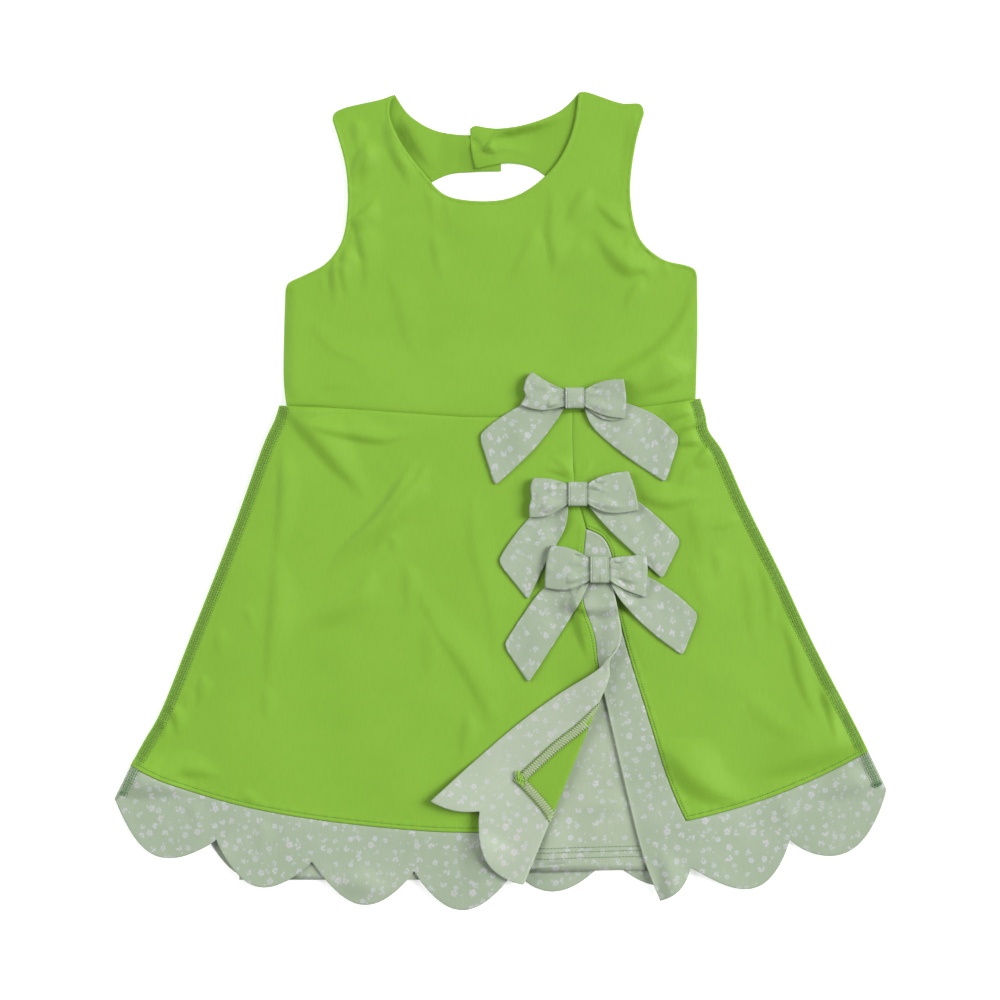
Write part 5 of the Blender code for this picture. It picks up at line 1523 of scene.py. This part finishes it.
# Each bow: its knot's centre and half height, then sections from left end to right end, each the
# strip's upper point and lower point. "under" is how far the loop's back layer hangs below its front
# one, left and right, and "ends" how its two ends wave. Sections and creases are measured from the
# knot's centre.
BOWS = [
    {
        "knot": (50.5, 68.0, 7.2),
        "loops": [
            (-29.4, 18.0, -37.6, -4.4),
            (-17.0, 10.0, -22.6, -8.2),
            (19.2, 11.2, 20.6, -12.0),
            (33.6, 12.6, 34.1, -14.0),
        ],
        "tails": [
            (-64.8, -25.5, -54.0, -59.5),
            (-50.5, -13.3, -27.0, -34.0),
            (-33.0, -3.5, -13.0, -16.0),
            (33.0, -2.6, 13.0, -20.4),
            (55.5, -12.0, 34.5, -39.0),
            (71.2, -27.5, 61.5, -57.0),
        ],
        "under": (0.0, 2.6),
        "ends": ((0.0, 2.4, 1.6, -1.4, 0.0), (0.0, 1.0, 1.6, 1.0, 0.0)),
        "loop_creases": [
            ([(-19.5, -6.4), (-14.5, -5.2), (-9.0, -1.8)], 1.6, 2.2, 5.0),
            ([(-19.0, 9.4), (-13.0, 7.4), (-6.7, 6.2)], -1.3, 1.6, 4.0),
            ([(-26.0, 6.2), (-17.0, 5.4), (-7.0, 4.0)], 1.0, 4.0, 6.0),
            ([(-37.0, 0.8), (-34.0, 0.4), (-30.0, 1.6)], -1.0, 2.2, 4.0),
            ([(-31.5, 13.0), (-27.0, 8.0), (-24.0, 1.0)], 0.7, 4.0, 7.0),
            ([(8.0, 8.6), (12.5, 7.0), (17.5, 7.6)], -1.6, 1.6, 3.5),
            ([(7.5, -3.0), (13.0, -6.4), (19.0, -8.4), (27.0, -9.4)], 1.0, 3.5, 6.0),
            ([(7.5, 1.5), (14.0, 2.2), (21.0, 5.0)], 0.9, 3.0, 5.0),
        ],
        "tail_creases": [
            ([(-24.0, -11.0), (-17.0, -9.0), (-10.5, -4.6)], 0.9, 2.0, 5.0),
            ([(-36.0, -17.0), (-44.0, -30.0), (-50.0, -44.0)], 0.8, 9.0, 12.0),
            ([(22.0, -12.0), (34.0, -20.0), (46.0, -31.0)], 0.7, 9.0, 11.0),
            ([(52.0, -18.0), (60.0, -30.0), (62.0, -44.0)], 0.6, 8.0, 10.0),
        ],
    },
    {
        "knot": (52.5, 3.1, 8.3),
        "loops": [
            (-31.8, 10.8, -33.1, -15.8),
            (-17.8, 10.0, -20.0, -14.5),
            (16.4, 12.0, 20.0, -12.6),
            (35.6, 15.6, 42.4, -10.9),
        ],
        "tails": [
            (-53.9, -46.0, -33.5, -72.0),
            (-45.5, -32.0, -20.5, -44.9),
            (-31.0, -14.5, -9.0, -24.0),
            (37.0, -3.0, 19.6, -22.4),
            (55.0, -16.5, 38.0, -40.0),
            (70.2, -32.0, 57.5, -57.5),
        ],
        "under": (0.4, 1.4),
        "ends": ((-1.2, 0.6, -0.4, 0.7, 0.0), (0.0, 0.3, 0.9, 0.6, 0.0)),
        "loop_creases": [
            ([(-18.5, 6.0), (-14.0, 7.0), (-9.4, 8.4)], -1.5, 1.3, 3.0),
            ([(10.8, 10.2), (14.2, 7.8), (20.4, 10.2)], -1.6, 1.3, 3.0),
            ([(-27.0, -12.0), (-17.0, -10.4), (-7.5, -5.4)], 1.4, 4.0, 7.0),
            ([(-22.0, 1.0), (-14.0, 2.4), (-7.0, 2.8)], 0.8, 4.0, 6.0),
            ([(-33.5, -2.0), (-30.0, -1.0), (-27.0, 1.4)], -0.7, 2.2, 4.0),
            ([(7.0, -4.8), (15.0, -8.4), (26.0, -10.0), (37.0, -8.6)], 1.2, 4.0, 6.0),
            ([(8.0, 3.6), (16.0, 4.4), (26.0, 8.6)], 0.9, 4.0, 6.0),
            ([(33.0, 2.0), (36.0, 1.0), (38.5, -3.0)], 0.5, 3.0, 5.0),
        ],
        "tail_creases": [
            ([(-20.0, -19.0), (-30.0, -34.0), (-36.0, -48.0)], 0.8, 9.0, 11.0),
            ([(-36.0, -22.0), (-46.0, -38.0), (-48.0, -50.0)], 0.6, 8.0, 10.0),
            ([(20.0, -12.0), (32.0, -24.0), (44.0, -36.0)], 0.8, 9.0, 11.0),
            ([(46.0, -14.0), (56.0, -26.0), (60.0, -40.0)], 0.6, 8.0, 10.0),
        ],
    },
    {
        "knot": (67.3, -47.9, 9.1),
        "loops": [
            (-34.7, 16.3, -38.1, -12.2),
            (-19.7, 14.0, -22.4, -13.6),
            (16.4, 8.8, 17.8, -14.0),
            (32.8, 10.0, 31.3, -19.0),
        ],
        "tails": [
            (-64.9, -51.7, -48.0, -77.0),
            (-53.5, -33.5, -32.5, -53.0),
            (-36.5, -11.8, -15.0, -25.0),
            (30.0, -3.4, 15.5, -22.5),
            (49.5, -15.0, 33.5, -41.0),
            (67.3, -30.9, 56.5, -58.5),
        ],
        "under": (1.0, 2.4),
        "ends": ((-2.2, 0.4, 0.6, 0.3, -0.4), (-0.8, 0.6, 0.9, 0.3, 0.0)),
        "loop_creases": [
            ([(-18.4, 10.8), (-13.5, 9.6), (-8.0, 9.6)], -1.7, 1.3, 3.0),
            ([(7.0, 6.6), (11.6, 4.6), (17.6, 7.0)], -2.0, 1.6, 3.2),
            ([(-24.0, -9.6), (-15.0, -7.4), (-8.4, -2.8)], 1.5, 3.0, 6.0),
            ([(-22.0, 3.6), (-14.0, 3.0), (-7.0, 3.4)], 0.7, 4.0, 6.0),
            ([(-37.0, -3.0), (-32.0, -1.0), (-28.0, 3.0)], 0.6, 4.0, 6.0),
            ([(6.8, -4.6), (13.0, -6.6), (20.0, -8.2), (27.5, -9.0)], -1.6, 4.0, 7.0),
            ([(8.0, 1.0), (15.0, 1.6), (22.0, 4.6)], 0.8, 3.0, 5.0),
            ([(31.5, 6.0), (28.5, 0.0), (29.5, -7.0)], 0.6, 3.0, 5.0),
        ],
        "tail_creases": [
            ([(-22.0, -14.5), (-24.5, -22.4), (-28.5, -31.0)], 1.0, 5.0, 8.0),
            ([(-11.5, -9.0), (-14.5, -14.0), (-18.0, -22.0)], 0.9, 3.0, 6.0),
            ([(-34.0, -30.0), (-44.0, -44.0), (-50.0, -58.0)], 0.7, 9.0, 11.0),
            ([(18.0, -12.0), (30.0, -24.0), (40.0, -36.0)], 0.8, 9.0, 11.0),
            ([(42.0, -14.0), (52.0, -26.0), (57.0, -40.0)], 0.6, 8.0, 10.0),
        ],
    },
]
KNOT_HALF_WIDTH = 6.3
KNOT_CHAMFER = 0.8
KNOT_CROWN = 0.6
KNOT_COLUMNS = 36
KNOT_SEAM = 0.45
KNOT_SEAM_AT = 5.3
KNOT_SEAM_WIDTH = 0.4
STRIP_WIDTH = 24.0
BOW_SPREAD = 10.0
LOOP_END = 3.0
LOOP_LIFT = 0.25
LOOP_CROWN = 1.1
LOOP_TURN_STEPS = 7
STRIP_STEPS = 22
STRIPS_ACROSS = 42
PLEATS = 2.0
PLEAT_DEPTH = 0.4
PLEAT_REACH = 7.0
STRIP_RIM = 0.75
LOWER_EDGE_DROP = 0.7
END_WAVE_FROM = 0.35
TAIL_ROWS = 12
TAIL_WAVE = 0.5
TAIL_WAVE_LENGTH = 9.0

# A tail's cut corners: how much of its width each takes, and how deep it is
UPPER_CORNER = (0.2, 3.0)
LOWER_CORNER = (0.13, 1.8)

# Where the strips are cut from the print: each bow's tails, then its loops and its knot beside them
TAILS_CUT_AT = (100.0, 400.0)
LOOPS_CUT_AT = (60.0, 0.0)
KNOT_CUT_AT = (0.0, 200.0)


def strips(points, closed):
    """Faces of a grid of points, closed along its first axis if asked."""
    rows, columns = points.shape[:2]
    i, j = np.meshgrid(np.arange(rows if closed else rows - 1), np.arange(columns - 1), indexing="ij")
    a, b = (i * columns + j).ravel(), ((i + 1) % rows * columns + j).ravel()
    return points.reshape(-1, points.shape[2]), np.column_stack([a, b, b + 1, a + 1])


def bow_floor(points):
    """The top of the front under a bow."""
    flat = points.reshape(-1, 2)
    others = creases(flat, RIGHT_CREASES) + creases(flat, BODICE_CREASES)
    return (left_height(flat) + others + WALL / 2).reshape(points.shape[:-1])


def bow_sections(rows, knot):
    """Sections of a bow's strip from end to end, narrowed where they go through the knot."""
    x, y, half = knot
    in_knot = half - WALL - 2 * GAP
    left = (-KNOT_HALF_WIDTH - GAP, in_knot, -KNOT_HALF_WIDTH - GAP, -in_knot)
    right = (KNOT_HALF_WIDTH + GAP, in_knot, KNOT_HALF_WIDTH + GAP, -in_knot)
    middle = len(rows) // 2
    table = np.array(rows[:middle] + [left, right] + rows[middle:])
    halves = [through(table[: middle + 1], STRIP_STEPS), through(table[middle + 1 :], STRIP_STEPS)]
    line = np.vstack(halves)
    upper, lower = line[:, :2], line[:, 2:]
    share = np.linspace(0.0, 1.0, STRIPS_ACROSS + 1)[None, :, None]
    return upper[:, None] * (1 - share) + lower[:, None] * share + (x, y)


def down_from_knot(x, knot_x):
    """1 at the knot, 0 where the strip lies on the dress."""
    return 1.0 - smooth((abs(x - knot_x) - KNOT_HALF_WIDTH - GAP) / BOW_SPREAD)


def pleated(flat, knot_x, turn):
    """Pleats that fan out from the knot and fade along the strip."""
    from_knot = np.maximum(abs(flat[..., 0] - knot_x) - KNOT_HALF_WIDTH, 0.0)
    share = np.linspace(0.0, 1.0, flat.shape[1])[None, :]
    wave = 0.5 + 0.5 * np.cos(2 * math.pi * PLEATS * share + turn + 0.06 * from_knot)
    return PLEAT_DEPTH * wave * np.exp(-from_knot / PLEAT_REACH) * np.sin(math.pi * share) ** 0.4


def waved(flat, ends, share, across):
    """A loop's two ends pushed out and in, as their rows of five say from the upper edge down."""
    half_of = len(flat) // 2
    moved = flat.copy()
    for sign, rows, part in ((-1.0, ends[0], slice(0, half_of)), (1.0, ends[1], slice(half_of, None))):
        line = through(np.column_stack([np.linspace(0.0, 1.0, len(rows)), rows]), 10)
        push = np.interp(across, line[:, 0], line[:, 1])
        fade = smooth((share[part, 0] - END_WAVE_FROM) / (1.0 - END_WAVE_FROM))
        moved[part, :, 0] += sign * fade[:, None] * push
    return moved


def cornered(flat):
    """A pair of tails with their cut corners rounded, more at the upper edge than at the lower one."""
    share = np.linspace(0.0, 1.0, flat.shape[1])
    moved = flat.copy()
    for end, before in ((0, 1), (-1, -2)):
        back = unit(flat[before] - flat[end])
        pull = np.zeros(len(share))
        for away, (reach, depth) in ((share, UPPER_CORNER), (1 - share, LOWER_CORNER)):
            inner = np.clip(1 - away / reach, 0.0, 1.0)
            pull += depth * (1 - np.sqrt(1 - inner**2))
        for k in range(TAIL_ROWS):
            row = k if end == 0 else -1 - k
            moved[row] = flat[row] + (pull * (1 - k / TAIL_ROWS) ** 2)[:, None] * back
    return moved


def loop_turn(start, end, out):
    """The round end of a loop, between its layers."""
    out = np.column_stack([unit(out), np.zeros(len(out))])
    middle, arm = (start + end) / 2, (start - end) / 2
    radius = np.linalg.norm(arm, axis=1)[:, None]
    angles = [math.pi * k / (LOOP_TURN_STEPS + 1) for k in range(1, LOOP_TURN_STEPS + 1)]
    return [middle + arm * math.cos(a) + out * radius * math.sin(a) for a in angles]


def strip_cut(grid, closed, corner):
    """The flat cut of a strip, along its first axis and across its second, from a corner."""
    lines = np.concatenate([grid, grid[:1]]) if closed else grid
    along = running(np.linalg.norm(np.diff(lines.mean(axis=1), axis=0), axis=1))
    across = running(np.linalg.norm(np.diff(grid, axis=1), axis=2).mean(axis=0))
    u, v = np.meshgrid(along[: len(grid)], across, indexing="ij")
    return np.dstack([u, v]).reshape(-1, 2) + corner, along[-1], across[-1]


def strip_piece(name, grid, closed, corner, rim=1.0):
    """A bow's strip of print knit, thickened and attached to the root body in place of its part."""
    flat, long, wide = strip_cut(grid, closed, corner)
    middle, faces = strips(grid, closed)
    piece = shell("cloth_" + name, flat, middle, faces, floral, rim)
    area = sum(face.area for face in piece.data.polygons) / 2 / MM / MM
    declare(piece, (wide, max(long, area / wide)))


def bow(number, rows):
    """One bow: its tails, its loops on them, and the knot round both."""
    name = f"bow_{number}"
    knot = rows["knot"]
    knot_x, knot_y, half = knot
    corner = np.array(TAILS_CUT_AT) * (number, 1.0)
    across = np.linspace(0.0, 1.0, STRIPS_ACROSS + 1)
    edge_away = np.minimum(across, 1 - across) * STRIP_WIDTH
    strip_rim = np.maximum(rounded(edge_away), STRIP_RIM)

    flat = cornered(bow_sections(rows["tails"], knot))
    from_knot = abs(flat[..., 0] - knot_x)
    by_knot = down_from_knot(flat[..., 0], knot_x)
    wave = TAIL_WAVE * (1 - by_knot) * np.sin(from_knot / TAIL_WAVE_LENGTH + number) ** 2
    z = bow_floor(flat) + GAP + WALL / 2 + LAYER * by_knot
    z = z + pleated(flat, knot_x, 1.0) * 0.5 + wave
    creased = creases(flat.reshape(-1, 2) - (knot_x, knot_y), rows["tail_creases"])
    z = z + creased.reshape(z.shape)
    rim = np.tile(strip_rim, len(flat))
    strip_piece(f"{name}_tails", np.dstack([flat, z]), False, corner, rim)

    flat = bow_sections(rows["loops"], knot)
    pull = LOOP_END / 2 + WALL / 2
    for end, before in ((0, 1), (-1, -2)):
        flat[end] -= pull * unit(flat[end] - flat[before])
    half_of = len(flat) // 2
    share = np.concatenate([np.linspace(1, 0, half_of), np.linspace(0, 1, half_of)])[:, None]
    flat = waved(flat, rows["ends"], share, across)
    spread = down_from_knot(flat[..., 0], knot_x)
    low = bow_floor(flat) + GAP + WALL / 2 + LAYER * (1 + spread) + LOOP_LIFT * (share > 0)
    apart = LAYER + (LOOP_END - LAYER) * smooth(share) + LOOP_CROWN * np.sin(math.pi * share) ** 2
    apart = LAYER + (apart - LAYER) * (1.0 - LOWER_EDGE_DROP * across**4) * (1.0 - 0.3 * (1 - across) ** 4)
    creased = creases(flat.reshape(-1, 2) - (knot_x, knot_y), rows["loop_creases"])
    apart = np.maximum(apart + creased.reshape(apart.shape) + pleated(flat, knot_x, number * 1.3), LAYER)
    droop = np.concatenate([np.full(half_of, rows["under"][0]), np.full(half_of, rows["under"][1])])
    droop = (droop * np.sin(math.pi * np.clip(share[:, 0], 0, 1)) ** 0.8)[:, None] * across**2
    below = flat.copy()
    below[..., 1] -= droop
    under, over = np.dstack([below, low]), np.dstack([flat, low + apart])
    ring_of = [over[k] for k in range(len(flat))]
    ring_of += loop_turn(over[-1], under[-1], flat[-1] - flat[-2])
    ring_of += [under[k] for k in reversed(range(len(flat)))]
    ring_of += loop_turn(under[0], over[0], flat[0] - flat[1])
    rim = np.tile(strip_rim, len(ring_of))
    strip_piece(f"{name}_loops", np.array(ring_of), True, corner + LOOPS_CUT_AT, rim)

    side, rise = half - WALL / 2, 2 * LAYER
    profile = [
        (-side, -rise + KNOT_CHAMFER),
        (-side, rise - KNOT_CHAMFER),
        (-side + KNOT_CHAMFER * 0.35, rise - KNOT_CHAMFER * 0.35),
        (-side + KNOT_CHAMFER, rise),
        (-side / 2, rise + KNOT_CROWN * 0.8),
        (0.0, rise + KNOT_CROWN),
        (side / 2, rise + KNOT_CROWN * 0.8),
        (side - KNOT_CHAMFER, rise),
        (side - KNOT_CHAMFER * 0.35, rise - KNOT_CHAMFER * 0.35),
        (side, rise - KNOT_CHAMFER),
        (side, -rise + KNOT_CHAMFER),
        (side - KNOT_CHAMFER, -rise),
        (0.0, -rise),
        (-side + KNOT_CHAMFER, -rise),
    ]
    ring_of = []
    x = knot_x + np.linspace(-KNOT_HALF_WIDTH, KNOT_HALF_WIDTH, KNOT_COLUMNS)
    seams = KNOT_SEAM * hump(abs(x - knot_x) - KNOT_SEAM_AT, KNOT_SEAM_WIDTH)
    for along, up in profile:
        row = np.column_stack([x, np.full(KNOT_COLUMNS, knot_y + along)])
        lift = up - seams * np.sign(up)
        ring_of.append(np.column_stack([row, bow_floor(row) + GAP + WALL / 2 + rise + lift]))
    strip_piece(f"{name}_knot", np.array(ring_of), True, corner + KNOT_CUT_AT)


for number, rows in enumerate(BOWS, 1):
    bow(number, rows)

# The stage: a plain white floor that glows softly, so that it stays white, under two wide studio
# lights, the stronger one from the right, and a camera straight above with a long lens.

# The view and the sensor are in millimetres, the camera's height and the floor in metres
VIEW_WIDTH = 680.0
VIEW_CENTRE = (0.0, -1.0)
CAMERA_HEIGHT = 1.6
SENSOR = 36.0
FLOOR_SIZE = 6.0
FLOOR_BELOW = 0.0002
FLOOR_GLOW = 0.45
FLOOR_COLOUR = (0.93, 0.93, 0.93, 1.0)
WHITE = (1.0, 1.0, 1.0, 1.0)
ROOM_LIGHT = 0.27

# Each light: its place and size in metres, and its power in watts
LIGHTS = [
    ("key_light", (9.41, 2.35, 7.05), 6.4, 1644.0),
    ("fill_light", (-4.78, 1.74, 3.18), 3.4, 201.0),
]


def stage():
    """Floor, lights, world and camera."""
    work = bmesh.new()
    bmesh.ops.create_grid(work, x_segments=1, y_segments=1, size=FLOOR_SIZE / 2)
    mesh = bpy.data.meshes.new("floor")
    work.to_mesh(mesh)
    work.free()
    white, _, shader = new_material("white_floor")
    glow = {"Emission Color": WHITE, "Emission Strength": FLOOR_GLOW}
    set_sockets(shader, {"Base Color": FLOOR_COLOUR, "Roughness": 0.9, "Specular IOR Level": 0.1, **glow})
    mesh.materials.append(white)
    floor = add("floor", mesh)
    floor.location.z = -FLOOR_BELOW
    for name, place, size, power in LIGHTS:
        lamp = bpy.data.lights.new(name, "AREA")
        lamp.energy = power
        lamp.size = size
        made = add(name, lamp)
        made.location = place
        made.rotation_euler = (-Vector(place)).to_track_quat("-Z", "Y").to_euler()
    world = bpy.data.worlds.new("studio")
    bpy.context.scene.world = world
    world.use_nodes = True
    set_sockets(world.node_tree.nodes["Background"], {"Color": WHITE, "Strength": ROOM_LIGHT})
    camera = bpy.data.cameras.new("camera")
    camera.sensor_width = SENSOR
    camera.lens = SENSOR * CAMERA_HEIGHT / (VIEW_WIDTH * MM)
    made = add("camera", camera)
    made.location = (VIEW_CENTRE[0] * MM, VIEW_CENTRE[1] * MM, CAMERA_HEIGHT)
    bpy.context.scene.camera = made
    bpy.context.scene.view_settings.view_transform = "Standard"


stage()
